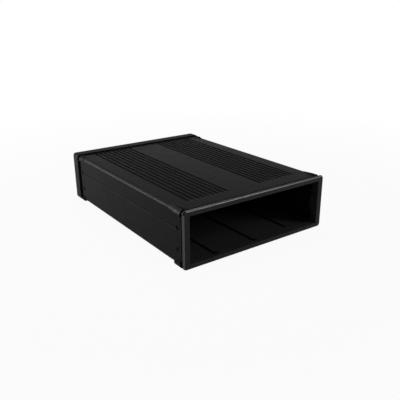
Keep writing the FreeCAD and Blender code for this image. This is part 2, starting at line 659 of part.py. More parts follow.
def shell_tube(name):
    """Full rounded tube of the shells."""
    length = f"({SHELL_REAR} - {SHELL_FRONT})"
    outside = bar(f"{name}_outside", SKIN_SIDE, "foot_height", SKIN_TOP, "shell_corner", SHELL_FRONT, length)
    inside = bar(f"{name}_inside", INNER_SIDE, FLOOR, INNER_TOP, INNER_CORNER,
                 f"({SHELL_FRONT} - overrun)", f"({length} + 2 * overrun)")
    return cut(f"{name}_tube", outside, [inside])


def shell_half(name, low_z, height, seam):
    """Part of the shells' tube between two heights, with a rounded outer edge at the seam."""
    space = box(f"{name}_space", (f"-{HALF_CASE}", f"{SHELL_FRONT} - overrun", low_z),
                (CASE_WIDTH, f"{SHELL_REAR} - {SHELL_FRONT} + 2 * overrun", height))
    level, side = number(seam), number(SKIN_SIDE)
    return rounded(f"{name}_half", shared(f"{name}_sharp", shell_tube(name), space), "seam_round",
                   lambda edge: runs_along_y(edge) and abs(edge.BoundBox.ZMax - level) < NEAR
                   and abs(abs(edge.BoundBox.XMax) - side) < NEAR)


def upper_shell():
    """Top and upper sides, with two groups of grooves that run out at the back."""
    shell = shell_half("upper", "seam_height + seam_gap", CASE_HEIGHT, "seam_height + seam_gap")
    step = both_sides("lip_step", f"({INNER_SIDE} - overrun)", f"{SHELL_FRONT} - overrun", "seam_height",
                      ("overrun + lip_wall + fit_gap", f"{SHELL_REAR} - {SHELL_FRONT} + 2 * overrun",
                       "seam_gap + lip_height + fit_gap"))
    return cut("upper_shell", shell, step + top_grooves() + windows)


def top_grooves():
    """Round-bottomed grooves in the top, each with a round front end."""
    cutters = []
    start = f"({FRONT} + groove_setback)"
    level = f"({SKIN_TOP} + groove_round - groove_sink)"
    for index in range(int(number("groove_count"))):
        for hand, sign in (("right", ""), ("left", "-")):
            x = f"{sign}(groove_start + {index} * groove_pitch)"
            cutters.append(rod(f"groove_{hand}_{index + 1}", "y", (x, start, level), "groove_round",
                               f"{SHELL_REAR} - {start} + overrun"))
            end = document.addObject("Part::Sphere", f"groove_end_{hand}_{index + 1}")
            bind(end, "Radius", "groove_round")
            cutters.append(move(end, x, start, level))
    return cutters


def lower_shell():
    """Floor and lower sides, with a lip into the upper shell, seats for the drive and floor grooves."""
    shell = shell_half("lower", "0", "seam_height", "seam_height")
    lip = both_sides("lip", INNER_SIDE, SHELL_FRONT, "seam_height - wall",
                     ("lip_wall", f"{SHELL_REAR} - {SHELL_FRONT}", "wall + seam_gap + lip_height"))
    seats = []
    holes = []
    for index, (x, y) in enumerate(drive_holes(), start=1):
        seats.append(rod(f"seat_{index}", "z", (x, y, "foot_height + wall / 2"), "seat_round",
                         "wall / 2 + seat_rise"))
        holes.append(rod(f"seat_hole_{index}", "z", (x, y, "0"), "drive_hole", CASE_HEIGHT))
        holes.append(rod(f"seat_recess_{index}", "z", (x, y, "0"), "recess_round",
                         "foot_height + recess_sink"))
    for index, (x, y) in enumerate(pillar_middles(), start=1):
        holes.append(rod(f"foot_hole_{index}", "z", (x, y, "0"), "pillar_foot + screw_play", CASE_HEIGHT))
    solid = joined("lower_shell_blank", [shell] + lip + seats)
    return cut("lower_shell", solid, holes + floor_grooves() + windows)


def drive_holes():
    """Middles of the drive's four screws, as X and Y."""
    first = f"({FRONT} + drive_setback)"
    return [(x, y) for y in (first, f"({first} + drive_pitch)")
            for x in ("-drive_spread / 2", "drive_spread / 2")]


def floor_grooves():
    """Three long grooves in the bay's floor, and a short one beside each of its walls."""
    shell_end = land_end("front")
    side_start = "side_groove_setback"
    side_end = "side_groove_setback + side_groove_length"
    rows = [("-floor_groove_x", shell_end, "floor_groove_end"), ("0", shell_end, "floor_groove_end"),
            ("floor_groove_x", "right_groove_setback", "floor_groove_end"),
            ("-side_groove_x", side_start, side_end), ("side_groove_x", side_start, side_end)]
    grooves = []
    for index, (x, start, end) in enumerate(rows, start=1):
        low, length = span("front", start, end)
        grooves.append(mid_box(f"floor_groove_{index}", x, low, f"{FLOOR} - floor_groove_sink",
                               ("floor_groove_width", length, "floor_groove_sink + overrun")))
    return grooves


# Rear panel

def rectangle(sketch, tag, x, z, width, height):
    """Rectangle by its low corner, held by constraints that are tied to the sheet."""
    low_x, low_z, across, up = (number(text) for text in (x, z, width, height))
    corners = [FreeCAD.Vector(low_x, low_z, 0), FreeCAD.Vector(low_x + across, low_z, 0),
               FreeCAD.Vector(low_x + across, low_z + up, 0), FreeCAD.Vector(low_x, low_z + up, 0)]
    first = sketch.GeometryCount
    for start, end in zip(corners, corners[1:] + corners[:1]):
        sketch.addGeometry(Part.LineSegment(start, end), False)
    for side in range(4):
        sketch.addConstraint(Sketcher.Constraint("Coincident", first + side, 2, first + (side + 1) % 4, 1))
        direction = "Horizontal" if side % 2 == 0 else "Vertical"
        sketch.addConstraint(Sketcher.Constraint(direction, first + side))
    tied(sketch, f"{tag}_width", Sketcher.Constraint("DistanceX", first, 1, first, 2, across), width)
    tied(sketch, f"{tag}_height", Sketcher.Constraint("DistanceY", first + 1, 1, first + 1, 2, up), height)
    tied(sketch, f"{tag}_x", Sketcher.Constraint("DistanceX", -1, 1, first, 1, low_x), x)
    tied(sketch, f"{tag}_z", Sketcher.Constraint("DistanceY", -1, 1, first, 1, low_z), z)


def circle(sketch, tag, x, z, radius):
    """Circle held by constraints that are tied to the sheet."""
    middle = FreeCAD.Vector(number(x), number(z), 0)
    index = sketch.addGeometry(Part.Circle(middle, FreeCAD.Vector(0, 0, 1), number(radius)), False)
    tied(sketch, f"{tag}_radius", Sketcher.Constraint("Radius", index, number(radius)), radius)
    tied(sketch, f"{tag}_x", Sketcher.Constraint("DistanceX", -1, 1, index, 3, middle.x), x)
    tied(sketch, f"{tag}_z", Sketcher.Constraint("DistanceY", -1, 1, index, 3, middle.y), z)


def tied(sketch, name, constraint, text):
    """Add a named constraint and tie its value to the sheet."""
    index = sketch.addConstraint(constraint)
    sketch.renameConstraint(index, name)
    bind(sketch, f"Constraints.{name}", text)


def sketch_in(body, name, role, offset):
    """Sketch on one of a body's own origin planes, moved along that plane's normal."""
    sketch = body.newObject("Sketcher::SketchObject", name)
    plane = [item for item in body.Origin.OriginFeatures if item.Role == role][0]
    sketch.AttachmentSupport = (plane, [""])
    sketch.MapMode = "FlatFace"
    bind(sketch, "AttachmentOffset.Base.z", offset)
    return sketch


def pad(body, name, sketch, length):
    """Pad of a sketch."""
    feature = body.newObject("PartDesign::Pad", name)
    feature.Profile = sketch
    bind(feature, "Length", length)
    return feature


def pocket(body, name, sketch):
    """Cut of a sketch, through everything both ways."""
    feature = body.newObject("PartDesign::Pocket", name)
    feature.Profile = sketch
    feature.Type = "ThroughAll"
    feature.Midplane = True
    return feature


def rear_panel():
    """Sheet that closes the back, with cut-outs for the ports, screw holes and a row of vent slots."""
    body = document.addObject("PartDesign::Body", "rear_panel")
    outline = sketch_in(body, "panel_outline", "XZ_Plane", f"-{PANEL_FACE}")
    rectangle(outline, "edge", f"-{BAY_SIDE} + panel_gap", "bottom_rim + panel_gap",
              "bay_width - 2 * panel_gap", "bay_height - 2 * panel_gap")
    pad(body, "panel_sheet", outline, "panel")
    ports = sketch_in(body, "panel_ports", "XZ_Plane", f"-{PANEL_FACE}")
    for name, middle in (("usb", USB_X), ("jack", JACK_X), ("switch", SWITCH_X)):
        rectangle(ports, name, f"{middle} - {name}_width / 2 - port_gap", f"{BOARD_TOP} - port_gap",
                  f"{name}_width + 2 * port_gap", f"{name}_height + 2 * port_gap")
    circle(ports, "led", LED_X, LED_HEIGHT, "led_round + port_gap")
    for index, (x, z) in enumerate(boss_middles(), start=1):
        circle(ports, f"screw_{index}", x, z, "screw_round + 2 * screw_play")
    pocket(body, "panel_ports_cut", ports)
    slot = sketch_in(body, "panel_slot", "XZ_Plane", f"-{PANEL_FACE}")
    rectangle(slot, "slot", "-(slot_count - 1) * slot_pitch / 2 - slot_width / 2",
              f"{BAY_TOP} - slot_top - slot_height", "slot_width", "slot_height")
    first = pocket(body, "panel_slot_cut", slot)
    row = body.newObject("PartDesign::LinearPattern", "panel_slots")
    row.Originals = [first]
    row.Direction = (slot, ["H_Axis"])
    bind(row, "Length", "slot_pitch * (slot_count - 1)")
    bind(row, "Occurrences", "slot_count")
    body.Tip = row
    return body


def cross_recess(name, axis, place):
    """Cross-shaped driver recess that goes into a screw's head from its middle."""
    spans = (("cross_span", "cross_width"), ("cross_width", "cross_span"))
    x, y, z = place
    if axis == "y":
        return [box(f"{name}_{index}", (f"{x} - {across} / 2", f"{y} - cross_sink", f"{z} - {up} / 2"),
                    (across, "cross_sink + overrun", up)) for index, (across, up) in enumerate(spans)]
    return [box(f"{name}_{index}", (f"{x} - {across} / 2", f"{y} - {up} / 2", f"{z} - cross_sink"),
                (across, up, "cross_sink + overrun")) for index, (across, up) in enumerate(spans)]


def rear_panel_screws():
    """Screws through the rear panel into the rear frame's bosses."""
    screws = []
    for index, (x, z) in enumerate(boss_middles(), start=1):
        shank = rod(f"panel_shank_{index}", "y", (x, f"{PANEL_FACE} - screw_length", z), "screw_round",
                    "screw_length + screw_head_height / 2")
        head = rod(f"panel_head_{index}", "y", (x, PANEL_FACE, z), "screw_head", "screw_head_height")
        whole = joined(f"panel_screw_{index}_blank", [shank, head])
        recess = cross_recess(f"panel_cross_{index}", "y", (x, f"{PANEL_FACE} + screw_head_height", z))
        screws.append(cut(f"panel_screw_{index}", whole, recess))
    return group("rear_panel_screws", screws)


# Board and its pillars

def pillar_middles():
    """Middles of the board's four pillars, as X and Y."""
    side = "(board_width / 2 - pillar_inset)"
    return [(x, y) for y in (f"({BOARD_FRONT} + pillar_inset)", f"({SHELL_REAR} - pillar_margin)")
            for x in (f"-{side}", side)]


def bridge_board():
    """Circuit board with a hole at each pillar."""
    body = document.addObject("PartDesign::Body", "bridge_board")
    outline = sketch_in(body, "board_outline", "XY_Plane", BOARD_FLOOR)
    rectangle(outline, "edge", "-board_width / 2", BOARD_FRONT, "board_width", "board_depth")
    pad(body, "board_sheet", outline, "board")
    holes = sketch_in(body, "board_holes", "XY_Plane", BOARD_FLOOR)
    for index, (x, y) in enumerate(pillar_middles(), start=1):
        circle(holes, f"hole_{index}", x, y, "board_hole")
    pocket(body, "board_holes_cut", holes)
    return body


def board_standoffs():
    """Hexagonal pillars with a foot pressed into the floor and a threaded bore."""
    pillars = []
    for index, (x, y) in enumerate(pillar_middles(), start=1):
        shaft = document.addObject("Part::Prism", f"pillar_shaft_{index}")
        shaft.Polygon = 6
        bind(shaft, "Circumradius", "pillar_round")
        bind(shaft, "Height", "pillar_height")
        move(shaft, x, y, FLOOR)
        foot = rod(f"pillar_foot_{index}", "z", (x, y, "foot_height"), "pillar_foot",
                   "wall + pillar_height / 2")
        bore = rod(f"pillar_bore_{index}", "z", (x, y, "0"), "board_screw + screw_play", CASE_HEIGHT)
        pillars.append(cut(f"pillar_{index}", joined(f"pillar_blank_{index}", [shaft, foot]), [bore]))
    return group("board_standoffs", pillars)


def board_screws():
    """Screws that hold the board on its pillars."""
    screws = []
    for index, (x, y) in enumerate(pillar_middles(), start=1):
        shank = rod(f"board_shank_{index}", "z", (x, y, f"{BOARD_TOP} - board_screw_length"), "board_screw",
                    "board_screw_length + board_screw_head_height / 2")
        head = rod(f"board_head_{index}", "z", (x, y, BOARD_TOP), "board_screw_head",
                   "board_screw_head_height")
        whole = joined(f"board_screw_{index}_blank", [shank, head])
        recess = cross_recess(f"board_cross_{index}", "z", (x, y, f"{BOARD_TOP} + board_screw_head_height"))
        screws.append(cut(f"board_screw_{index}", whole, recess))
    return group("board_screws", screws)


# Drive receptacle

RECEPTACLE_FACE = f"({BOARD_FRONT} - receptacle_overhang)"
KEY_MIDDLE = f"({BOARD_TOP} + receptacle_height / 2)"
KEYS_WIDTH = "(data_width + key_wall + power_width)"
DATA_LEFT = f"({RECEPTACLE_X} - {KEYS_WIDTH} / 2)"
POWER_LEFT = f"({DATA_LEFT} + data_width + key_wall)"


def sata_receptacle():
    """Moulded receptacle with a data and a power slot that open towards the bay."""
    block = mid_box("receptacle_block", RECEPTACLE_X, RECEPTACLE_FACE, BOARD_TOP,
                    ("receptacle_width", "receptacle_depth", "receptacle_height"))
    rows = (("data", DATA_LEFT, "data_width"), ("power", POWER_LEFT, "power_width"))
    slots = [box(f"{name}_slot", (left, f"{RECEPTACLE_FACE} - overrun", f"{KEY_MIDDLE} - key_height / 2"),
                 (width, "key_depth + overrun", "key_height")) for name, left, width in rows]
    return cut("sata_receptacle", block, slots)


def sata_contacts():
    """Blades on the slots' floors and tails behind the receptacle, on the board."""
    blades = []
    tail_y = f"({RECEPTACLE_FACE} + receptacle_depth)"
    for name, left, width in (("data", DATA_LEFT, "data_width"), ("power", POWER_LEFT, "power_width")):
        count = int(number(f"{name}_contacts"))
        first = f"({left} + {width} / 2 - ({name}_contacts - 1) * contact_pitch / 2)"
        for index in range(count):
            x = f"({first} + {index} * contact_pitch)"
            blades.append(mid_box(f"{name}_blade_{index + 1}", x, f"{RECEPTACLE_FACE} + blade_sink",
                                  f"{KEY_MIDDLE} - key_height / 2",
                                  ("contact_width", "key_depth - blade_sink", "contact_wall")))
            blades.append(mid_box(f"{name}_tail_{index + 1}", x, tail_y, BOARD_TOP,
                                  ("contact_width", "tail_length", "contact_wall")))
    return group("sata_contacts", blades)


# USB port

USB_BACK = f"({PORT_FACE} - usb_depth)"
USB_MIDDLE = f"({BOARD_TOP} + usb_height / 2)"


def usb_prism(name, inset, start, length):
    """Block with cut upper corners, set in from the port's outline."""
    blank = mid_box(f"{name}_blank", USB_X, start, f"{BOARD_TOP} + {inset}",
                    (f"usb_width - 2 * {inset}", length, f"usb_height - 2 * {inset}"))
    document.recompute()
    top = number(f"{BOARD_TOP} + usb_height - {inset}")
    item = document.addObject("Part::Chamfer", name)
    item.Base = blank
    size = number("usb_chamfer")
    item.Edges = [(index, size, size) for index, edge in enumerate(blank.Shape.Edges, start=1)
                  if runs_along_y(edge) and abs(edge.BoundBox.ZMax - top) < NEAR]
    return item


def usb_shell():
    """Metal shell of the port, open to the back."""
    outside = usb_prism("usb_outside", "0", USB_BACK, "usb_depth")
    inside = usb_prism("usb_inside", "usb_wall", f"{USB_BACK} - overrun", "usb_depth + 2 * overrun")
    return cut("usb_shell", outside, [inside])


def usb_insulator():
    """Moulded back block and tongue inside the shell."""
    back = usb_prism("usb_back_block", "(usb_wall + usb_play)", f"{USB_BACK} + usb_back_sink", "usb_back")
    tongue_start = "(usb_back_sink + usb_back / 2)"
    tongue = mid_box("usb_tongue", USB_X, f"{USB_BACK} + {tongue_start}", f"{USB_MIDDLE} - tongue_height / 2",
                     ("tongue_width", f"usb_depth - tongue_sink - {tongue_start}", "tongue_height"))
    return joined("usb_insulator", [back, tongue])


def usb_contacts():
    """Two contacts on the tongue's top and two on its underside."""
    contacts = []
    start = f"({USB_BACK} + usb_back_sink + usb_back)"
    for level, z in (("upper", f"{USB_MIDDLE} + tongue_height / 2"),
                     ("lower", f"{USB_MIDDLE} - tongue_height / 2 - contact_wall")):
        for hand, sign in (("right", "+"), ("left", "-")):
            contacts.append(mid_box(f"usb_{level}_{hand}", f"({USB_X} {sign} usb_pin_spread)", start, z,
                                    ("usb_pin_width", "usb_pin_length", "contact_wall")))
    return group("usb_contacts", contacts)


# Power inlet

JACK_BACK = f"({PORT_FACE} - jack_depth)"
JACK_MIDDLE = f"({BOARD_TOP} + jack_height / 2)"


def dc_jack_housing():
    """Moulded body with a round bore and a slot for the side contact."""
    block = mid_box("jack_block", JACK_X, JACK_BACK, BOARD_TOP, ("jack_width", "jack_depth", "jack_height"))
    bore = rod("jack_bore", "y", (JACK_X, f"{PORT_FACE} - jack_bore_depth", JACK_MIDDLE), "jack_bore",
               "jack_bore_depth + overrun")
    seat = rod("jack_pin_seat", "y", (JACK_X, f"{JACK_BACK} - overrun", JACK_MIDDLE), "jack_pin + fit_gap",
               "jack_depth + overrun")
    return cut("dc_jack_housing", block, [bore, seat])


def dc_jack_pin():
    """Centre pin, fixed in the housing's back wall."""
    return rod("dc_jack_pin", "y", (JACK_X, JACK_BACK, JACK_MIDDLE), "jack_pin",
               "jack_depth - jack_pin_sink")


def dc_jack_spring():
    """Side contact that lies along the bore's floor."""
    return mid_box("dc_jack_spring", JACK_X, f"{PORT_FACE} - jack_bore_depth",
                   f"{JACK_MIDDLE} - jack_bore + leaf_wall",
                   ("leaf_width", "leaf_length", "leaf_wall"))


# Power switch

SWITCH_MIDDLE = f"({BOARD_TOP} + switch_height / 2)"
PIVOT_Y = f"({PORT_FACE} - pivot_sink)"
ROCKER_WIDTH = "(switch_width - 2 * switch_wall - 2 * rocker_gap)"


def power_switch_housing():
    """Housing with the rocker's well and a hole each side for its pivot studs."""
    block = mid_box("switch_block", SWITCH_X, f"{PORT_FACE} - switch_depth", BOARD_TOP,
                    ("switch_width", "switch_depth", "switch_height"))
    well = mid_box("switch_hollow", SWITCH_X, f"{PORT_FACE} - switch_well",
                   f"{SWITCH_MIDDLE} - rocker_round - rocker_gap",
                   ("switch_width - 2 * switch_wall", "switch_well + overrun",
                    "2 * rocker_round + 2 * rocker_gap"))
    bore = rod("switch_bore", "x", (f"{SWITCH_X} - switch_width", PIVOT_Y, SWITCH_MIDDLE),
               "pivot_round + pivot_play", "2 * switch_width")
    return cut("power_switch_housing", block, [well, bore])


def power_switch_rocker():
    """Rocker with a hollow face and two pivot studs, tilted to its off position."""
    drum = rod("rocker_drum", "x", (f"-{ROCKER_WIDTH} / 2", "0", "0"), "rocker_round", ROCKER_WIDTH)
    behind = mid_box("rocker_behind", "0", "-2 * rocker_round", "-2 * rocker_round",
                     (f"2 * {ROCKER_WIDTH}", "2 * rocker_round - rocker_skirt", "4 * rocker_round"))
    scoop = rod("rocker_scoop", "x", (f"-{ROCKER_WIDTH}", "pivot_sink + scoop_round", "0"), "scoop_round",
                f"2 * {ROCKER_WIDTH}")
    studs = rod("rocker_studs", "x", ("stud_sink - switch_width / 2", "0", "0"), "pivot_round",
                "switch_width - 2 * stud_sink")
    rocker = joined("power_switch_rocker", [cut("rocker_body", drum, [behind, scoop]), studs])
    rocker.Placement = FreeCAD.Placement(FreeCAD.Vector(), FreeCAD.Rotation(FreeCAD.Vector(1, 0, 0), 1))
    bind(rocker, "Placement.Rotation.Angle", "half_travel * 1deg")
    return move(rocker, SWITCH_X, PIVOT_Y, SWITCH_MIDDLE)


def power_switch_terminals():
    """Three legs from the housing's back down to the board."""
    legs = []
    back = f"({PORT_FACE} - switch_depth)"
    for index, x in enumerate((f"{SWITCH_X} - leg_spread", SWITCH_X, f"{SWITCH_X} + leg_spread"), start=1):
        blade = mid_box(f"leg_blade_{index}", x, f"{back} - leg_reach",
                        f"{BOARD_TOP} + leg_height - leg_wall", ("leg_width", "leg_reach", "leg_wall"))
        drop = mid_box(f"leg_drop_{index}", x, f"{back} - leg_reach", BOARD_TOP,
                       ("leg_width", "leg_wall", "leg_height"))
        legs.append(joined(f"leg_{index}", [blade, drop]))
    return group("power_switch_terminals", legs)


# Status light

LED_HEIGHT = f"({BOARD_TOP} + holder_height / 2)"
LED_SEAT = f"({PORT_FACE} - led_length)"


def status_led():
    """Clear lens with a domed end, and the flange behind it."""
    lens = rod("led_lens", "y", (LED_X, LED_SEAT, LED_HEIGHT), "led_round", "led_length - led_round")
    dome = document.addObject("Part::Sphere", "led_dome")
    bind(dome, "Radius", "led_round")
    move(dome, LED_X, f"{PORT_FACE} - led_round", LED_HEIGHT)
    flange = rod("led_flange", "y", (LED_X, LED_SEAT, LED_HEIGHT), "led_flange", "led_flange_depth")
    return joined("status_led", [lens, dome, flange])


def led_holder():
    """Holder on the board that carries the light at its hole."""
    block = mid_box("holder_block", LED_X, f"{LED_SEAT} - holder_depth", BOARD_TOP,
                    ("holder_width", "holder_depth", "holder_height"))
    return rounded("led_holder", block, "holder_corner", runs_along_y)


# Small pieces on the board

CHIP_X = f"({BOARD_LEFT} + chip_side_inset)"
MEMORY_X = f"({BOARD_LEFT} + memory_side_inset)"
CRYSTAL_X = f"({BOARD_LEFT} + crystal_side_inset)"
CAPACITOR_X = f"({BOARD_RIGHT} - capacitor_side_inset)"
INDUCTOR_X = f"({BOARD_RIGHT} - inductor_side_inset)"
REGULATOR_X = f"({BOARD_RIGHT} - regulator_side_inset)"
REGULATOR_INSET = "(board_depth - regulator_inset)"
SPECK_X = f"({BOARD_RIGHT} - speck_side_inset)"


def on_board(name, x, inset, width, depth, height):
    """Block on the board by its middle and its distance from the board's rear edge."""
    return mid_box(name, x, f"{BOARD_REAR} - {inset} - {depth} / 2", BOARD_TOP, (width, depth, height))


def lifted(name, x, inset, width, depth, height):
    """Chip's moulded body, which stands a lead's thickness above the board."""
    return mid_box(name, x, f"{BOARD_REAR} - {inset} - {depth} / 2", f"{BOARD_TOP} + lead_wall",
                   (width, depth, f"{height} - lead_wall"))


def lead_row(name, x, inset, half_depth, count, pitch, width):
    """Flat leads along the front and the rear side of a chip."""
    leads = []
    for index in range(int(number(count))):
        place = f"({x} + ({index} - ({count} - 1) / 2) * {pitch})"
        for side, low in (("rear", f"{BOARD_REAR} - {inset} + {half_depth} - lead_reach / 2"),
                          ("front", f"{BOARD_REAR} - {inset} - {half_depth} - lead_reach / 2")):
            leads.append(mid_box(f"{name}_{side}_{index + 1}", place, low, BOARD_TOP,
                                 (width, "lead_reach", "lead_wall")))
    return leads


def lead_columns(name, x, inset, half_width, count, pitch, width):
    """Flat leads along the left and the right side of a chip."""
    leads = []
    for index in range(int(number(count))):
        low = f"({BOARD_REAR} - {inset} + ({index} - ({count} - 1) / 2) * {pitch} - {width} / 2)"
        for side, middle in (("right", f"({x} + {half_width})"), ("left", f"({x} - {half_width})")):
            leads.append(mid_box(f"{name}_{side}_{index + 1}", middle, low, BOARD_TOP,
                                 ("lead_reach", width, "lead_wall")))
    return leads


def chip_leads():
    """Leads of the bridge chip, the memory chip and the regulator."""
    leads = lead_row("bridge_lead", CHIP_X, "chip_inset", "chip_side / 2", "chip_leads", "lead_pitch",
                     "lead_width")
    leads += lead_columns("bridge_lead", CHIP_X, "chip_inset", "chip_side / 2", "chip_leads", "lead_pitch",
                          "lead_width")
    leads += lead_row("memory_lead", MEMORY_X, "memory_inset", "memory_depth / 2", "memory_leads",
                      "memory_pitch", "memory_lead_width")
    leads += lead_row("regulator_lead", REGULATOR_X, REGULATOR_INSET, "regulator_depth / 2",
                      "regulator_leads", "regulator_pitch", "regulator_lead")
    return group("chip_leads", leads)


def clock_crystal():
    """Crystal's can on its base flange, with round ends."""
    base = on_board("crystal_flange", CRYSTAL_X, "crystal_inset", "crystal_length + 2 * crystal_rim",
                    "crystal_width + 2 * crystal_rim", "crystal_base")
    can = on_board("crystal_can", CRYSTAL_X, "crystal_inset", "crystal_length", "crystal_width",
                   "crystal_height")
    corner = "(crystal_width - crystal_flat) / 2"
    return joined("clock_crystal", [rounded("crystal_base_round", base, corner, stands_upright),
                                    rounded("crystal_can_round", can, corner, stands_upright)])


def capacitor_places():
    """Middles of the filter capacitors, as X expressions."""
    count = int(number("capacitor_count"))
    return [f"({CAPACITOR_X} + {index} * capacitor_pitch)" for index in range(count)]


def filter_capacitors():
    """Round cans of the filter capacitors."""
    return group("filter_capacitors", [
        rod(f"capacitor_{index}", "z",
            (x, f"{BOARD_REAR} - capacitor_inset", f"{BOARD_TOP} + capacitor_base"),
            "capacitor_round", "capacitor_height")
        for index, x in enumerate(capacitor_places(), start=1)])


def capacitor_bases():
    """Moulded square bases under the filter capacitors."""
    side = "(2 * capacitor_round + 2 * capacitor_rim)"
    return group("capacitor_bases", [
        on_board(f"capacitor_base_{index}", x, "capacitor_inset", side, side, "capacitor_base")
        for index, x in enumerate(capacitor_places(), start=1)])


def power_inductors():
    """Two moulded inductors with rounded corners."""
    blocks = []
    for index, x in enumerate((INDUCTOR_X, f"({INDUCTOR_X} + inductor_pitch)"), start=1):
        block = on_board(f"inductor_block_{index}", x, "inductor_inset", "inductor_side", "inductor_side",
                         "inductor_height")
        blocks.append(rounded(f"inductor_{index}", block, "inductor_corner", stands_upright))
    return group("power_inductors", blocks)


def small_chips():
    """Rows of small ceramic parts near the board's front edge."""
    specks = []
    for row_index in range(int(number("speck_rows"))):
        inset = f"(board_depth - speck_inset - {row_index} * speck_row)"
        for index in range(int(number("speck_count"))):
            specks.append(on_board(f"speck_{row_index + 1}_{index + 1}",
                                   f"({SPECK_X} + {index} * speck_pitch)",
                                   inset, "speck_width", "speck_length", "speck_height"))
    return group("small_chips", specks)


# Every sub-part, each under the name of its node

windows = clip_windows("front") + clip_windows("rear")

SUBPARTS = [
    front_frame(),
    rear_frame(),
    upper_shell(),
    lower_shell(),
    rear_panel(),
    rear_panel_screws(),
    bridge_board(),
    board_standoffs(),
    board_screws(),
    sata_receptacle(),
    sata_contacts(),
    usb_shell(),
    usb_insulator(),
    usb_contacts(),
    dc_jack_housing(),
    dc_jack_pin(),
    dc_jack_spring(),
    power_switch_housing(),
    power_switch_rocker(),
    power_switch_terminals(),
    status_led(),
    led_holder(),
    lifted("bridge_chip", CHIP_X, "chip_inset", "chip_side", "chip_side", "chip_height"),
    lifted("flash_chip", MEMORY_X, "memory_inset", "memory_width", "memory_depth", "memory_height"),
    chip_leads(),
    clock_crystal(),
    filter_capacitors(),
    capacitor_bases(),
    power_inductors(),
    lifted("voltage_regulator", REGULATOR_X, REGULATOR_INSET, "regulator_width", "regulator_depth",
           "regulator_height"),
    small_chips(),
]

document.recompute()
for item in document.Objects:
    if "Invalid" in item.State or "Error" in item.State:
        raise RuntimeError(f"{item.Name} failed: {item.State}")
for subpart in SUBPARTS:
    if subpart.Shape.isNull() or not subpart.Shape.isValid() or not subpart.Shape.Solids:
        raise RuntimeError(f"{subpart.Label} has no valid solid")

os.makedirs("parts", exist_ok=True)
for subpart in SUBPARTS:
    subpart.Shape.exportStep(f"parts/{subpart.Label}.step")
    print(f"{subpart.Label}: {len(subpart.Shape.Solids)} solid(s), {subpart.Shape.Volume:.1f} cubic mm")
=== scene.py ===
import json
import math

import bmesh
import bpy
from mathutils import Matrix, Vector


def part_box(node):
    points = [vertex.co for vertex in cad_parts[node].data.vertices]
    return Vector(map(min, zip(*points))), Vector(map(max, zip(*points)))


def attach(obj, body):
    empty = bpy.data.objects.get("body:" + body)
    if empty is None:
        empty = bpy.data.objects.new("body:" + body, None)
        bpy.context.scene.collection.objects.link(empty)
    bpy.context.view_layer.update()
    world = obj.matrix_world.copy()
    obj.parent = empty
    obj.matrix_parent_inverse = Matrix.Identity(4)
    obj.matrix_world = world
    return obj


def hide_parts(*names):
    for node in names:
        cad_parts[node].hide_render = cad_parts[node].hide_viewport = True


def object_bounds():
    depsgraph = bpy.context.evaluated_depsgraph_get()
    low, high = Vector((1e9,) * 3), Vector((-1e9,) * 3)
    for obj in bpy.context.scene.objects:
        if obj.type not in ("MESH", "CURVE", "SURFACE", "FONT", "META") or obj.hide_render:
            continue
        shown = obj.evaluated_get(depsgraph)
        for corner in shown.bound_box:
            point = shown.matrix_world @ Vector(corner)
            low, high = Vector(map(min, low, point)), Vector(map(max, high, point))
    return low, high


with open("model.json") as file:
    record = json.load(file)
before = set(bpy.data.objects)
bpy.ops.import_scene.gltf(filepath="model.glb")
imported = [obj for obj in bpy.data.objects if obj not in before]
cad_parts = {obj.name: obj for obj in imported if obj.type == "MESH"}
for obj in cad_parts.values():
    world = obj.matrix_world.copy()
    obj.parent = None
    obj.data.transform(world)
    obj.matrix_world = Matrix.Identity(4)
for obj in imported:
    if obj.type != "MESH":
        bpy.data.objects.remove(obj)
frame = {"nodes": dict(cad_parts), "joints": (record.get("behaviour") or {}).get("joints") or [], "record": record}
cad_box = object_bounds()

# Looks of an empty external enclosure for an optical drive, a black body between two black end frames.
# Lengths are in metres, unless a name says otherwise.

MM = 0.001
WHITE = (1, 1, 1, 1)
SQUARE = ((-1, -1), (1, -1), (1, 1), (-1, 1))

# Camera, fitted to the outline of the object in the photograph

PICTURE_PIXELS = 400
FOCAL_PIXELS = 505.81
SENSOR_MM = 36.0
NEAR_CLIP = 10 * MM
FAR_CLIP = 50.0
CAMERA_AZIMUTH = math.radians(-35.215)
CAMERA_ELEVATION = math.radians(20.505)
CAMERA_ROLL = math.radians(-0.439)
CAMERA_DISTANCE = 544.68 * MM
CAMERA_RIGHT = 11.79 * MM
CAMERA_UP = 10.81 * MM


def camera_axes():
    """Level and upward directions across the line of sight, the same two rolled, and the one back from it."""
    back = Vector((math.sin(CAMERA_AZIMUTH) * math.cos(CAMERA_ELEVATION),
                   -math.cos(CAMERA_AZIMUTH) * math.cos(CAMERA_ELEVATION),
                   math.sin(CAMERA_ELEVATION)))
    level = Vector((math.cos(CAMERA_AZIMUTH), math.sin(CAMERA_AZIMUTH), 0.0))
    upward = back.cross(level)
    right = level * math.cos(CAMERA_ROLL) + upward * math.sin(CAMERA_ROLL)
    up = upward * math.cos(CAMERA_ROLL) - level * math.sin(CAMERA_ROLL)
    return level, upward, right, up, back


def place_camera():
    """Camera that sees the object as the photograph does."""
    level, upward, right, up, back = camera_axes()
    eye = level * CAMERA_RIGHT + upward * CAMERA_UP + back * CAMERA_DISTANCE
    data = bpy.data.cameras.new("photo_camera")
    data.sensor_width = SENSOR_MM
    data.lens = FOCAL_PIXELS / PICTURE_PIXELS * SENSOR_MM
    data.clip_start = NEAR_CLIP
    data.clip_end = FAR_CLIP
    camera = bpy.data.objects.new("photo_camera", data)
    turn = Matrix((right, up, back)).transposed()
    camera.matrix_world = Matrix.Translation(eye) @ turn.to_4x4()
    bpy.context.scene.collection.objects.link(camera)
    bpy.context.scene.camera = camera


# Steps that shader node trees are made of

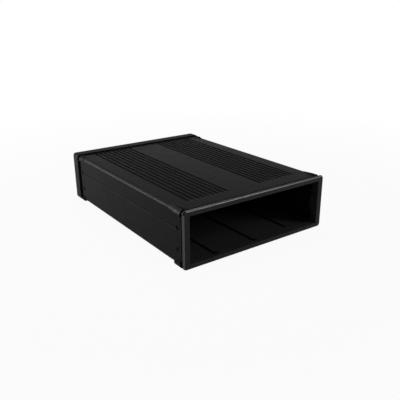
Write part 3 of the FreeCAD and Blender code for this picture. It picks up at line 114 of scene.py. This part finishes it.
def combined(tree, operation, first, second):
    """Result of an arithmetic operation on two sockets."""
    node = tree.nodes.new("ShaderNodeMath")
    node.operation = operation
    tree.links.new(first, node.inputs[0])
    tree.links.new(second, node.inputs[1])
    return node.outputs[0]


def mapped(tree, value, start, end, first, last):
    """Value stretched from one range to another, and held inside that."""
    node = tree.nodes.new("ShaderNodeMapRange")
    node.inputs["From Min"].default_value = start
    node.inputs["From Max"].default_value = end
    node.inputs["To Min"].default_value = first
    node.inputs["To Max"].default_value = last
    tree.links.new(value, node.inputs["Value"])
    return node.outputs["Result"]


def mixed(tree, share, first, second):
    """Shader that goes from a first to a second one by a share."""
    node = tree.nodes.new("ShaderNodeMixShader")
    for value, socket in zip((share, first, second), node.inputs):
        tree.links.new(value, socket)
    return node.outputs[0]


def kinds_of_ray(tree):
    """Two sockets: one is 1 for what the camera sees itself, the other for what gloss or glass shows it."""
    path = tree.nodes.new("ShaderNodeLightPath")
    mirrored = combined(tree, "MAXIMUM", path.outputs["Is Glossy Ray"], path.outputs["Is Transmission Ray"])
    return path.outputs["Is Camera Ray"], mirrored


# Studio: white table and backdrop under a darker ceiling, and soft lamps

TABLE_HALF = 6.0
TABLE_GREY = (0.4, 0.4, 0.4, 1)

# Share of the table's own shading that the camera and a reflection see, and how far out it fades
SHADOW_SEEN = 0.06
SHADOW_MIRRORED = 0.6
SHADOW_NEAR = 0.25
SHADOW_FAR = 0.6

# Heights of a ray's direction between which reflections go from white to the ceiling's level
BACKDROP_TOP = 0.14
CEILING_START = 0.26
CEILING_LEVEL = 0.16

LAMPS = {
    "key_lamp": {"place": (0.86, -1.12, 0.74), "width": 0.45, "height": 0.9, "radiance": 4.5},
    "top_lamp": {"place": (0.3, 0.5, 1.4), "width": 0.8, "height": 0.8, "radiance": 6.2},
    "side_lamp": {"place": (-0.58, 0.53, 0.18), "width": 0.4, "height": 0.4, "radiance": 12.0},
    "back_lamp": {"place": (-0.35, 0.77, 0.54), "width": 0.3, "height": 0.3, "radiance": 0.7},
}


def light_surroundings():
    """World that is white behind the object and in low reflections, and lights it at the ceiling's level."""
    world = bpy.data.worlds.new("surroundings")
    bpy.context.scene.world = world
    world.use_nodes = True
    tree = world.node_tree
    tree.nodes.clear()
    seen, mirrored = kinds_of_ray(tree)
    direction = tree.nodes.new("ShaderNodeTexCoord")
    parts = tree.nodes.new("ShaderNodeSeparateXYZ")
    tree.links.new(direction.outputs["Generated"], parts.inputs[0])
    low = mapped(tree, parts.outputs["Z"], BACKDROP_TOP, CEILING_START, 1.0, 0.0)
    backdrop = combined(tree, "MULTIPLY", mirrored, low)
    shown = tree.nodes.new("ShaderNodeBackground")
    shown.inputs["Strength"].default_value = 1.0
    lighting = tree.nodes.new("ShaderNodeBackground")
    lighting.inputs["Strength"].default_value = CEILING_LEVEL
    for shader in (shown, lighting):
        shader.inputs["Color"].default_value = WHITE
    white_share = combined(tree, "MAXIMUM", seen, backdrop)
    output = tree.nodes.new("ShaderNodeOutputWorld")
    surface = mixed(tree, white_share, lighting.outputs[0], shown.outputs[0])
    tree.links.new(surface, output.inputs["Surface"])


def table_material():
    """White for the camera and in reflections, with a share of the shadow, and grey paint for other light."""
    material = bpy.data.materials.new("table_white")
    material.use_nodes = True
    tree = material.node_tree
    tree.nodes.clear()
    paint = tree.nodes.new("ShaderNodeBsdfDiffuse")
    paint.inputs["Color"].default_value = TABLE_GREY
    glow = tree.nodes.new("ShaderNodeEmission")
    glow.inputs["Strength"].default_value = 1.0
    place = tree.nodes.new("ShaderNodeTexCoord")
    reach = tree.nodes.new("ShaderNodeVectorMath")
    reach.operation = "LENGTH"
    tree.links.new(place.outputs["Object"], reach.inputs[0])
    near = mapped(tree, reach.outputs["Value"], SHADOW_NEAR, SHADOW_FAR, 1.0, 0.0)
    seen, mirrored = kinds_of_ray(tree)
    strength = mapped(tree, mirrored, 0.0, 1.0, SHADOW_SEEN, SHADOW_MIRRORED)
    shadow_share = combined(tree, "MULTIPLY", near, strength)
    shown = mixed(tree, shadow_share, glow.outputs[0], paint.outputs[0])
    shown_share = combined(tree, "MAXIMUM", seen, mirrored)
    output = tree.nodes.new("ShaderNodeOutputMaterial")
    tree.links.new(mixed(tree, shown_share, paint.outputs[0], shown), output.inputs["Surface"])
    return material


def lay_table():
    """Plain white table that the object stands on."""
    mesh = bpy.data.meshes.new("table")
    corners = [(x * TABLE_HALF, y * TABLE_HALF, 0) for x, y in SQUARE]
    mesh.from_pydata(corners, [], [(0, 1, 2, 3)])
    mesh.materials.append(table_material())
    table = bpy.data.objects.new("table", mesh)
    bpy.context.scene.collection.objects.link(table)


def hang_lamp(name, place, width, height, radiance):
    """Soft lamp at a place, which faces the object, as bright as the given radiance."""
    data = bpy.data.lights.new(name, "AREA")
    data.shape = "RECTANGLE"
    data.size = width
    data.size_y = height
    data.energy = radiance * math.pi * width * height
    lamp = bpy.data.objects.new(name, data)
    place = Vector(place)
    lamp.matrix_world = Matrix.Translation(place) @ place.to_track_quat("Z", "Y").to_matrix().to_4x4()
    bpy.context.scene.collection.objects.link(lamp)


# Patterns that all materials share

# Noise: the range that most of it lies in, and three levels of detail
NOISE_LOW = 0.3
NOISE_HIGH = 0.7
SOFT = 2.0
FINE = 3.0
FINEST = 4.0

# Sockets of a node that mixes two colours
MIX_SHARE = 0
MIX_DARK = 6
MIX_LIGHT = 7
MIX_RESULT = 2


def principled(name, colour, roughness, specular, metallic=0.0):
    """New material with one surface shader and its constant values."""
    material = bpy.data.materials.new(name)
    material.use_nodes = True
    tree = material.node_tree
    shader = tree.nodes["Principled BSDF"]
    shader.inputs["Base Color"].default_value = (*colour, 1)
    shader.inputs["Roughness"].default_value = roughness
    shader.inputs["Specular IOR Level"].default_value = specular
    shader.inputs["Metallic"].default_value = metallic
    return material, tree, shader


def grain(tree, scale, detail=SOFT, stretch=(1, 1, 1)):
    """Noise with so many patches to a metre, in the object's own coordinates."""
    coordinates = tree.nodes.new("ShaderNodeTexCoord")
    mapping = tree.nodes.new("ShaderNodeMapping")
    mapping.inputs["Scale"].default_value = stretch
    noise = tree.nodes.new("ShaderNodeTexNoise")
    noise.inputs["Scale"].default_value = scale
    noise.inputs["Detail"].default_value = detail
    tree.links.new(coordinates.outputs["Object"], mapping.inputs["Vector"])
    tree.links.new(mapping.outputs["Vector"], noise.inputs["Vector"])
    return noise.outputs["Fac"]


def scaled(colour, share):
    """Colour made darker or lighter by a share."""
    return [share * part for part in colour]


def tint(tree, shader, noise, dark, light):
    """Base colour that noise changes between two colours."""
    mix = tree.nodes.new("ShaderNodeMix")
    mix.data_type = "RGBA"
    mix.inputs[MIX_DARK].default_value = (*dark, 1)
    mix.inputs[MIX_LIGHT].default_value = (*light, 1)
    tree.links.new(mapped(tree, noise, NOISE_LOW, NOISE_HIGH, 0.0, 1.0), mix.inputs[MIX_SHARE])
    tree.links.new(mix.outputs[MIX_RESULT], shader.inputs["Base Color"])


def roughen(tree, shader, noise, roughness, spread):
    """Roughness that noise changes by a spread each way."""
    value = mapped(tree, noise, NOISE_LOW, NOISE_HIGH, roughness - spread, roughness + spread)
    tree.links.new(value, shader.inputs["Roughness"])


def emboss(tree, shader, height, depth, strength):
    """Small relief from a pattern."""
    bump = tree.nodes.new("ShaderNodeBump")
    bump.inputs["Distance"].default_value = depth
    bump.inputs["Strength"].default_value = strength
    tree.links.new(height, bump.inputs["Height"])
    tree.links.new(bump.outputs["Normal"], shader.inputs["Normal"])


# Moulded plastic

MOULD_PATCHES = 60.0
MOULD_SHADE = 0.15
MOULD_DEPTH = 0.03 * MM
MOULD_POLISH_PATCHES = 180.0
MOULD_POLISH = 0.05


def moulded(name, colour, roughness, specular, grain_mm=0.5, relief=0.35):
    """Plastic with a fine eroded grain and a slow change of shade."""
    material, tree, shader = principled(name, colour, roughness, specular)
    dark = scaled(colour, 1 - MOULD_SHADE)
    light = scaled(colour, 1 + MOULD_SHADE)
    tint(tree, shader, grain(tree, MOULD_PATCHES, FINE), dark, light)
    emboss(tree, shader, grain(tree, 1 / (grain_mm * MM), FINE), MOULD_DEPTH, relief)
    roughen(tree, shader, grain(tree, MOULD_POLISH_PATCHES), roughness, MOULD_POLISH)
    return material


# Anodised aluminium

STREAKS = 900.0
STREAK_STRETCH = (1.0, 0.01, 1.0)
STREAK_SHADE = 0.1
BLAST_GRAIN = 0.35 * MM
BLAST_DEPTH = 0.02 * MM
BLAST_RELIEF = 0.35
BLAST_PATCHES = 120.0
BLAST_POLISH = 0.04


def anodised(name, colour, roughness, specular):
    """Blasted and dyed metal, with faint streaks along its length."""
    material, tree, shader = principled(name, colour, roughness, specular)
    dark = scaled(colour, 1 - STREAK_SHADE)
    light = scaled(colour, 1 + STREAK_SHADE)
    tint(tree, shader, grain(tree, STREAKS, SOFT, STREAK_STRETCH), dark, light)
    emboss(tree, shader, grain(tree, 1 / BLAST_GRAIN, FINEST), BLAST_DEPTH, BLAST_RELIEF)
    roughen(tree, shader, grain(tree, BLAST_PATCHES), roughness, BLAST_POLISH)
    return material


# Bare and plated metal

METAL_SPECULAR = 0.5
METAL_PATCHES = 400.0
METAL_SHADE = 0.15
METAL_MARKS = 2500.0
METAL_POLISH = 0.08


def metal(name, colour, roughness):
    """Metal with fine marks."""
    material, tree, shader = principled(name, colour, roughness, METAL_SPECULAR, metallic=1.0)
    tint(tree, shader, grain(tree, METAL_PATCHES), scaled(colour, 1 - METAL_SHADE), colour)
    roughen(tree, shader, grain(tree, METAL_MARKS, FINE), roughness, METAL_POLISH)
    return material


# Circuit board, whose tracks are the joints of a brick pattern, sized in shares of its pitch

MASK_ROUGHNESS = 0.36
MASK_SPECULAR = 0.4
MASK_SHADE = 0.2
MASK_PATCHES = 400.0
MASK_POLISH = 0.06
TRACK_PITCH = 2.0 * MM
TRACK_DEPTH = 0.03 * MM
TRACK_RELIEF = 0.3
TRACK_ROWS = 3
TRACK_SHARES = {"Mortar Size": 0.03, "Brick Width": 2.5, "Row Height": 0.5}


def soldered(name, mask, track):
    """Board with raised tracks in both directions under its mask."""
    material, tree, shader = principled(name, mask, MASK_ROUGHNESS, MASK_SPECULAR)
    coordinates = tree.nodes.new("ShaderNodeTexCoord")
    bricks = tree.nodes.new("ShaderNodeTexBrick")
    bricks.offset_frequency = TRACK_ROWS
    bricks.inputs["Color1"].default_value = (*mask, 1)
    bricks.inputs["Color2"].default_value = (*scaled(mask, 1 - MASK_SHADE), 1)
    bricks.inputs["Mortar"].default_value = (*track, 1)
    bricks.inputs["Scale"].default_value = 1 / TRACK_PITCH
    for socket, share in TRACK_SHARES.items():
        bricks.inputs[socket].default_value = share
    tree.links.new(coordinates.outputs["Object"], bricks.inputs["Vector"])
    tree.links.new(bricks.outputs["Color"], shader.inputs["Base Color"])
    emboss(tree, shader, bricks.outputs["Fac"], TRACK_DEPTH, TRACK_RELIEF)
    roughen(tree, shader, grain(tree, MASK_PATCHES), MASK_ROUGHNESS, MASK_POLISH)
    return material


# Materials, mostly by name, colour, roughness, specular level, grain in millimetres and its relief

FRAME_BLACK = moulded("frame_black", (0.012, 0.012, 0.0123), 0.45, 0.18)
# The front frame's rounded outer edges: glossier, and lighter in colour as a painted highlight
FRAME_PAINTED_HIGHLIGHT = moulded("frame_painted_highlight", (0.036, 0.036, 0.0365), 0.32, 0.95, 0.5, 0.1)
# The rear frame: duller than the front frame, and darker in colour as painted shade
REAR_FRAME_BLACK_AND_SHADE = moulded("rear_frame_black_and_shade", (0.01, 0.01, 0.0102), 0.5, 0.05)
# The rear frame's rounded outer edges: lighter in colour as a painted highlight
REAR_FRAME_PAINTED_HIGHLIGHT = moulded("rear_frame_painted_highlight", (0.014, 0.014, 0.0143), 0.45, 0.2)
# Near black in the shadow gaps and on the lugs' crowns: painted shade
GAP_PAINTED_SHADE = moulded("gap_painted_shade", (0.004, 0.004, 0.0041), 0.6, 0.02)
# Lighter colour on the frames' inner walls behind the rings: painted light
INNER_PAINTED_LIGHT = moulded("inner_painted_light", (0.034, 0.034, 0.0345), 0.45, 0.1)
LUG_BLACK = moulded("lug_black", (0.012, 0.012, 0.0123), 0.5, 0.04)
# The front lugs' rounded faces: a little glossier, and lighter in colour as a painted highlight
LUG_PAINTED_HIGHLIGHT = moulded("lug_edge", (0.013, 0.013, 0.0133), 0.48, 0.08)
SHELL_BLACK = anodised("shell_black", (0.0112, 0.0112, 0.0115), 0.35, 0.02)
# Near black in the top's grooves and on the shells' front-facing faces: painted shade
GROOVE_PAINTED_SHADE = anodised("groove_painted_shade", (0.005, 0.005, 0.0051), 0.6, 0.02)
# The upper shell's rounded long edges: glossier, and lighter in colour as a painted highlight
SHELL_PAINTED_HIGHLIGHT = anodised("shell_painted_highlight", (0.0135, 0.0135, 0.0138), 0.48, 0.07)
# Lighter colour on the bay's floor: painted light
FLOOR_PAINTED_LIGHT = anodised("floor_painted_light", (0.036, 0.036, 0.0366), 0.5, 0.05)
PANEL_BLACK = moulded("panel_black", (0.02, 0.02, 0.021), 0.5, 0.2, 0.3, 0.5)
PORT_BLACK = moulded("port_black", (0.015, 0.015, 0.016), 0.4, 0.3)
ROCKER_BLACK = moulded("rocker_black", (0.014, 0.014, 0.015), 0.25, 0.5, 0.6, 0.1)
SCREW_STEEL = metal("screw_steel", (0.12, 0.12, 0.125), 0.38)
PLATED_STEEL = metal("plated_steel", (0.62, 0.62, 0.6), 0.28)
GOLD_CONTACT = metal("gold_contact", (0.8, 0.58, 0.24), 0.25)
PILLAR_BRASS = metal("pillar_brass", (0.62, 0.47, 0.2), 0.32)
CAN_METAL = metal("can_metal", (0.66, 0.66, 0.67), 0.3)
BOARD_GREEN = soldered("board_green", (0.012, 0.05, 0.022), (0.02, 0.09, 0.04))
PRINT_WHITE = moulded("print_white", (0.7, 0.7, 0.7), 0.6, 0.2, 0.3, 0.1)
INSULATOR = moulded("insulator_plastic", (0.03, 0.09, 0.35), 0.4, 0.4)
CHIP_BLACK = moulded("chip_black", (0.02, 0.02, 0.021), 0.45, 0.3, 0.15, 0.3)
FERRITE = moulded("ferrite", (0.06, 0.06, 0.062), 0.55, 0.25, 0.25, 0.6)
CERAMIC = moulded("ceramic", (0.42, 0.33, 0.22), 0.5, 0.3, 0.3, 0.3)
LENS = moulded("lens", (0.55, 0.68, 0.85), 0.15, 0.5, 2.0, 0.02)

MATERIALS = {
    "front_frame": FRAME_BLACK, "rear_frame": REAR_FRAME_BLACK_AND_SHADE,
    "upper_shell": SHELL_BLACK, "lower_shell": SHELL_BLACK,
    "rear_panel": PANEL_BLACK, "rear_panel_screws": SCREW_STEEL,
    "bridge_board": BOARD_GREEN, "board_standoffs": PILLAR_BRASS, "board_screws": SCREW_STEEL,
    "sata_receptacle": PORT_BLACK, "sata_contacts": GOLD_CONTACT,
    "usb_shell": PLATED_STEEL, "usb_insulator": INSULATOR, "usb_contacts": GOLD_CONTACT,
    "dc_jack_housing": PORT_BLACK, "dc_jack_pin": PLATED_STEEL, "dc_jack_spring": PLATED_STEEL,
    "power_switch_housing": PORT_BLACK, "power_switch_rocker": ROCKER_BLACK,
    "power_switch_terminals": PLATED_STEEL,
    "status_led": LENS, "led_holder": PORT_BLACK,
    "bridge_chip": CHIP_BLACK, "flash_chip": CHIP_BLACK, "voltage_regulator": CHIP_BLACK,
    "chip_leads": PLATED_STEEL, "clock_crystal": CAN_METAL, "filter_capacitors": CAN_METAL,
    "capacitor_bases": PORT_BLACK, "power_inductors": FERRITE, "small_chips": CERAMIC,
}

# Materials of a piece's other faces, by the name that each face is given below: besides the lugs' own colour,
# painted highlights on rounded edges, painted shade in gaps, grooves and on front-facing shell faces, and painted
# light on inner walls and the bay's floor
FINISHES_AND_PAINTED_LIGHT = {
    "front_frame": {"edge": FRAME_PAINTED_HIGHLIGHT, "gap": GAP_PAINTED_SHADE, "lug": LUG_BLACK, "inside": INNER_PAINTED_LIGHT,
                    "lug_edge": LUG_PAINTED_HIGHLIGHT},
    "rear_frame": {"edge": REAR_FRAME_PAINTED_HIGHLIGHT, "gap": GAP_PAINTED_SHADE, "lug": LUG_BLACK, "inside": INNER_PAINTED_LIGHT,
                   "lug_edge": LUG_BLACK},
    "upper_shell": {"edge": SHELL_PAINTED_HIGHLIGHT, "dark": GROOVE_PAINTED_SHADE},
    "lower_shell": {"floor": FLOOR_PAINTED_LIGHT, "dark": GROOVE_PAINTED_SHADE},
}

# Sizes from the frame, and limits between those faces, which a face's middle is compared with

CASE_SIDE = cad_box[1].x
CASE_FRONT = cad_box[0].y
CASE_REAR = cad_box[1].y
CASE_TOP = cad_box[1].z
SHELL_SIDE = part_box("upper_shell")[1].x
SHELL_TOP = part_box("upper_shell")[1].z
SHELL_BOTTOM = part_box("lower_shell")[0].z

# Depths of the end frames' rings and shadow gaps, with a little play for rounded faces
FRONT_RING = 2.2 * MM
FRONT_GAP = 3.6 * MM
REAR_RING = 12.0 * MM
REAR_GAP = 4.4 * MM
PLAY = 0.15 * MM

# How near the end frames' outer faces lie to the case's sides, top and underside
OUTER_SIDE = 5.0 * MM
OUTER_TOP = 4.3 * MM
OUTER_BOTTOM = 4.0 * MM

# How near the lugs lie to the case's long corners, their crowns, which get painted shade, to its top, and the
# shaded rim to its rear
LUG_CORNER = 5.6 * MM
LUG_CROWN = 0.5 * MM
REAR_SHADE = 3.75 * MM

# How near the upper shell's long edges, with their painted highlight, lie to its side and top, and its grooves,
# with their painted shade, to them
EDGE_WIDTH = 5.6 * MM
EDGE_HEIGHT = 6.7 * MM
GROOVES_INSET = 9.6 * MM
GROOVE_SHALLOW = 0.05 * MM
GROOVE_DEEP = 1.4 * MM

# Limit of the bay's floor, which gets painted light, above the shells' underside
FLOOR_RISE = 4.8 * MM

# Least part of a flat face's normal that lies along one axis
FLAT = 0.95

RING_FRONT = CASE_FRONT + FRONT_RING + PLAY
RING_REAR = CASE_REAR - REAR_RING - PLAY
GAP_FRONT = RING_FRONT + FRONT_GAP
GAP_REAR = RING_REAR - REAR_GAP
MIDDLE_HEIGHT = CASE_TOP / 2
LUG_REACH = CASE_SIDE + MIDDLE_HEIGHT - LUG_CORNER


def frame_finish_or_painted_light(place, rounded):
    """Name of the finish on an end frame's face with the given middle; painted highlights, shade and light are
    among them.
    """
    in_ring = not RING_FRONT < place.y < RING_REAR
    in_gap = not in_ring and not GAP_FRONT < place.y < GAP_REAR
    outer = abs(place.x) > CASE_SIDE - OUTER_SIDE or place.z > CASE_TOP - OUTER_TOP
    in_corner = abs(place.x) + abs(place.z - MIDDLE_HEIGHT) > LUG_REACH
    # Faces within the opening keep the plain colour on a ring and get painted light behind it
    if not outer and place.z > OUTER_BOTTOM:
        return "plain" if in_ring else "inside"
    # A ring's rounded outer faces get a painted highlight, left off near the rear and at the upper corners, where
    # they lie in shade
    if in_ring:
        shaded = place.y > CASE_REAR - REAR_SHADE or (in_corner and place.z > MIDDLE_HEIGHT)
        return "edge" if rounded and outer and not shaded else "plain"
    # Rounded lug faces get a painted highlight on the front frame and the lug's own colour on the rear one
    if rounded and in_corner:
        return "lug_edge"
    # Faces in a shadow gap and on a lug's crown get painted shade, other lug faces the lug's own colour
    return "gap" if in_gap or (in_corner and place.z > CASE_TOP - LUG_CROWN) else "lug"


def upper_shell_finish_or_painted_light(place, rounded):
    """Name of the finish on the upper shell's face with the given middle; a painted highlight and painted shade
    are among them.
    """
    depth = SHELL_TOP - place.z
    # Faces inside the grooves get painted shade
    if abs(place.x) < SHELL_SIDE - GROOVES_INSET and GROOVE_SHALLOW < depth < GROOVE_DEEP:
        return "dark"
    # Rounded faces along the long edges get a painted highlight
    in_corner = abs(place.x) > SHELL_SIDE - EDGE_WIDTH and depth < EDGE_HEIGHT
    return "edge" if rounded and in_corner else "plain"


def finish_or_painted_light_of(node, face):
    """Name of the finish that a face of a piece has; painted highlights, shade and light are among them."""
    place = face.calc_center_median()
    rounded = max(abs(part) for part in face.normal) < FLAT
    if node in ("front_frame", "rear_frame"):
        return frame_finish_or_painted_light(place, rounded)
    # Every face of the shells that looks to the front, mainly their front ends, gets painted shade
    if node in ("upper_shell", "lower_shell") and face.normal.y < -FLAT:
        return "dark"
    if node == "upper_shell":
        return upper_shell_finish_or_painted_light(place, rounded)
    # The bay's floor gets painted light
    if node == "lower_shell" and face.normal.z > FLAT and place.z < SHELL_BOTTOM + FLOOR_RISE:
        return "floor"
    return "plain"


# Pieces with softened edges, by the width of the softening in millimetres

SOFTENED = {
    "front_frame": 0.3, "rear_frame": 0.3, "upper_shell": 0.2, "lower_shell": 0.2,
    "rear_panel": 0.15, "rear_panel_screws": 0.15, "sata_receptacle": 0.15, "usb_shell": 0.1,
    "dc_jack_housing": 0.2, "power_switch_housing": 0.25, "power_switch_rocker": 0.2,
    "led_holder": 0.15, "bridge_chip": 0.1, "flash_chip": 0.1, "voltage_regulator": 0.1,
    "capacitor_bases": 0.15, "filter_capacitors": 0.3, "power_inductors": 0.25, "bridge_board": 0.1,
}
BODIES = {node: body for body, nodes in frame["record"]["behaviour"]["bodies"].items() for node in nodes}
SOFTENING_STEPS = 2
SHARPEST_SMOOTH = math.radians(30)
FLATNESS = math.radians(0.6)
WELD = 0.002 * MM
MANY_CORNERS = 40


def copied(node):
    """Copy of a CAD piece with its own mesh, which doesn't yet ride on anything."""
    piece = frame["nodes"][node].copy()
    piece.data = piece.data.copy()
    for key in list(piece.keys()):
        del piece[key]
    piece.parent = None
    piece.name = f"{node}_finished"
    piece.data.name = piece.name
    bpy.context.scene.collection.objects.link(piece)
    return piece


def finish_faces_and_paint_light(piece, node, finishes_and_painted_light):
    """Joins what lies flat, splits faces with many corners for the bevel, and gives each face its finish, which on
    some faces is a painted highlight, shade or light.
    """
    piece.data.materials.clear()
    for material in finishes_and_painted_light.values():
        piece.data.materials.append(material)
    names = list(finishes_and_painted_light)
    shape = bmesh.new()
    shape.from_mesh(piece.data)
    bmesh.ops.remove_doubles(shape, verts=shape.verts, dist=WELD)
    bmesh.ops.dissolve_limit(shape, angle_limit=FLATNESS, verts=shape.verts, edges=shape.edges,
                             use_dissolve_boundaries=False)
    winding = [face for face in shape.faces if len(face.verts) > MANY_CORNERS]
    bmesh.ops.triangulate(shape, faces=winding)
    for face in shape.faces:
        face.material_index = names.index(finish_or_painted_light_of(node, face))
        face.smooth = True
    shape.to_mesh(piece.data)
    shape.free()


def softened(node, width, finishes_and_painted_light):
    """Copy of a CAD piece with clean flat faces and softened edges, which stands for it."""
    piece = copied(node)
    finish_faces_and_paint_light(piece, node, finishes_and_painted_light)
    bevel = piece.modifiers.new("softened_edges", "BEVEL")
    bevel.width = width
    bevel.segments = SOFTENING_STEPS
    bevel.limit_method = "ANGLE"
    bevel.angle_limit = SHARPEST_SMOOTH
    normals = piece.modifiers.new("flat_faces", "WEIGHTED_NORMAL")
    normals.keep_sharp = True
    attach(piece, BODIES[node])
    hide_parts(node)


# On and off marks, printed on the rocker's hollow face, which is tilted at rest

SWITCH = frame["joints"][0]
PIVOT = Vector(SWITCH["pos_m"])
REST_TILT = math.radians(SWITCH["range_deg"][1] / 2)
FACE_SINK = 3.8 * MM
FACE_RADIUS = 25 * MM
MARK_LEVEL = 4.0 * MM
MARK_DEPTH = 0.2 * MM
BAR_WIDTH = 0.4 * MM
BAR_HEIGHT = 2.2 * MM
RING_OUTER = 1.1 * MM
RING_INNER = 0.75 * MM
RING_CORNERS = 40


def bar():
    """Corners and faces of an upright bar round the origin."""
    corners = [(x * BAR_WIDTH / 2, y * MARK_DEPTH / 2, z * BAR_HEIGHT / 2)
               for y in (-1, 1) for x, z in SQUARE]
    sides = [(0, 4, 5, 1), (1, 5, 6, 2), (2, 6, 7, 3), (3, 7, 4, 0)]
    return corners, [(0, 1, 2, 3), (7, 6, 5, 4), *sides]


def ring():
    """Corners and faces of a flat ring round the origin."""
    turns = [2 * math.pi * corner / RING_CORNERS for corner in range(RING_CORNERS)]
    circles = [(radius, y * MARK_DEPTH / 2) for y, radius in
               ((-1, RING_OUTER), (1, RING_OUTER), (1, RING_INNER), (-1, RING_INNER))]
    corners = [(radius * math.cos(turn), y, radius * math.sin(turn))
               for radius, y in circles for turn in turns]
    faces = []
    for circle in range(len(circles)):
        start = circle * RING_CORNERS
        other = (circle + 1) % len(circles) * RING_CORNERS
        for corner in range(RING_CORNERS):
            follower = (corner + 1) % RING_CORNERS
            faces.append((start + corner, other + corner, other + follower, start + follower))
    return corners, faces


def printed(name, level, shape):
    """Thin mark, printed at one height of the rocker's face."""
    corners, faces = shape
    mesh = bpy.data.meshes.new(name)
    mesh.from_pydata(corners, [], faces)
    mesh.materials.append(PRINT_WHITE)
    piece = bpy.data.objects.new(name, mesh)
    lean = math.asin(level / FACE_RADIUS)
    out = FACE_SINK + FACE_RADIUS * (1 - math.cos(lean))
    piece.matrix_world = (Matrix.Translation(PIVOT) @ Matrix.Rotation(REST_TILT, 4, "X")
                          @ Matrix.Translation((0, out, level)) @ Matrix.Rotation(-lean, 4, "X"))
    bpy.context.scene.collection.objects.link(piece)
    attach(piece, "power_rocker")


place_camera()
light_surroundings()
lay_table()
for name, lamp in LAMPS.items():
    hang_lamp(name, **lamp)

for node, material in MATERIALS.items():
    if node in SOFTENED:
        softened(node, SOFTENED[node] * MM, {"plain": material, **FINISHES_AND_PAINTED_LIGHT.get(node, {})})
    else:
        for slot in frame["nodes"][node].material_slots:
            slot.material = material

printed("mark_on", MARK_LEVEL, bar())
printed("mark_off", -MARK_LEVEL, ring())

bpy.context.scene.view_settings.view_transform = "Standard"
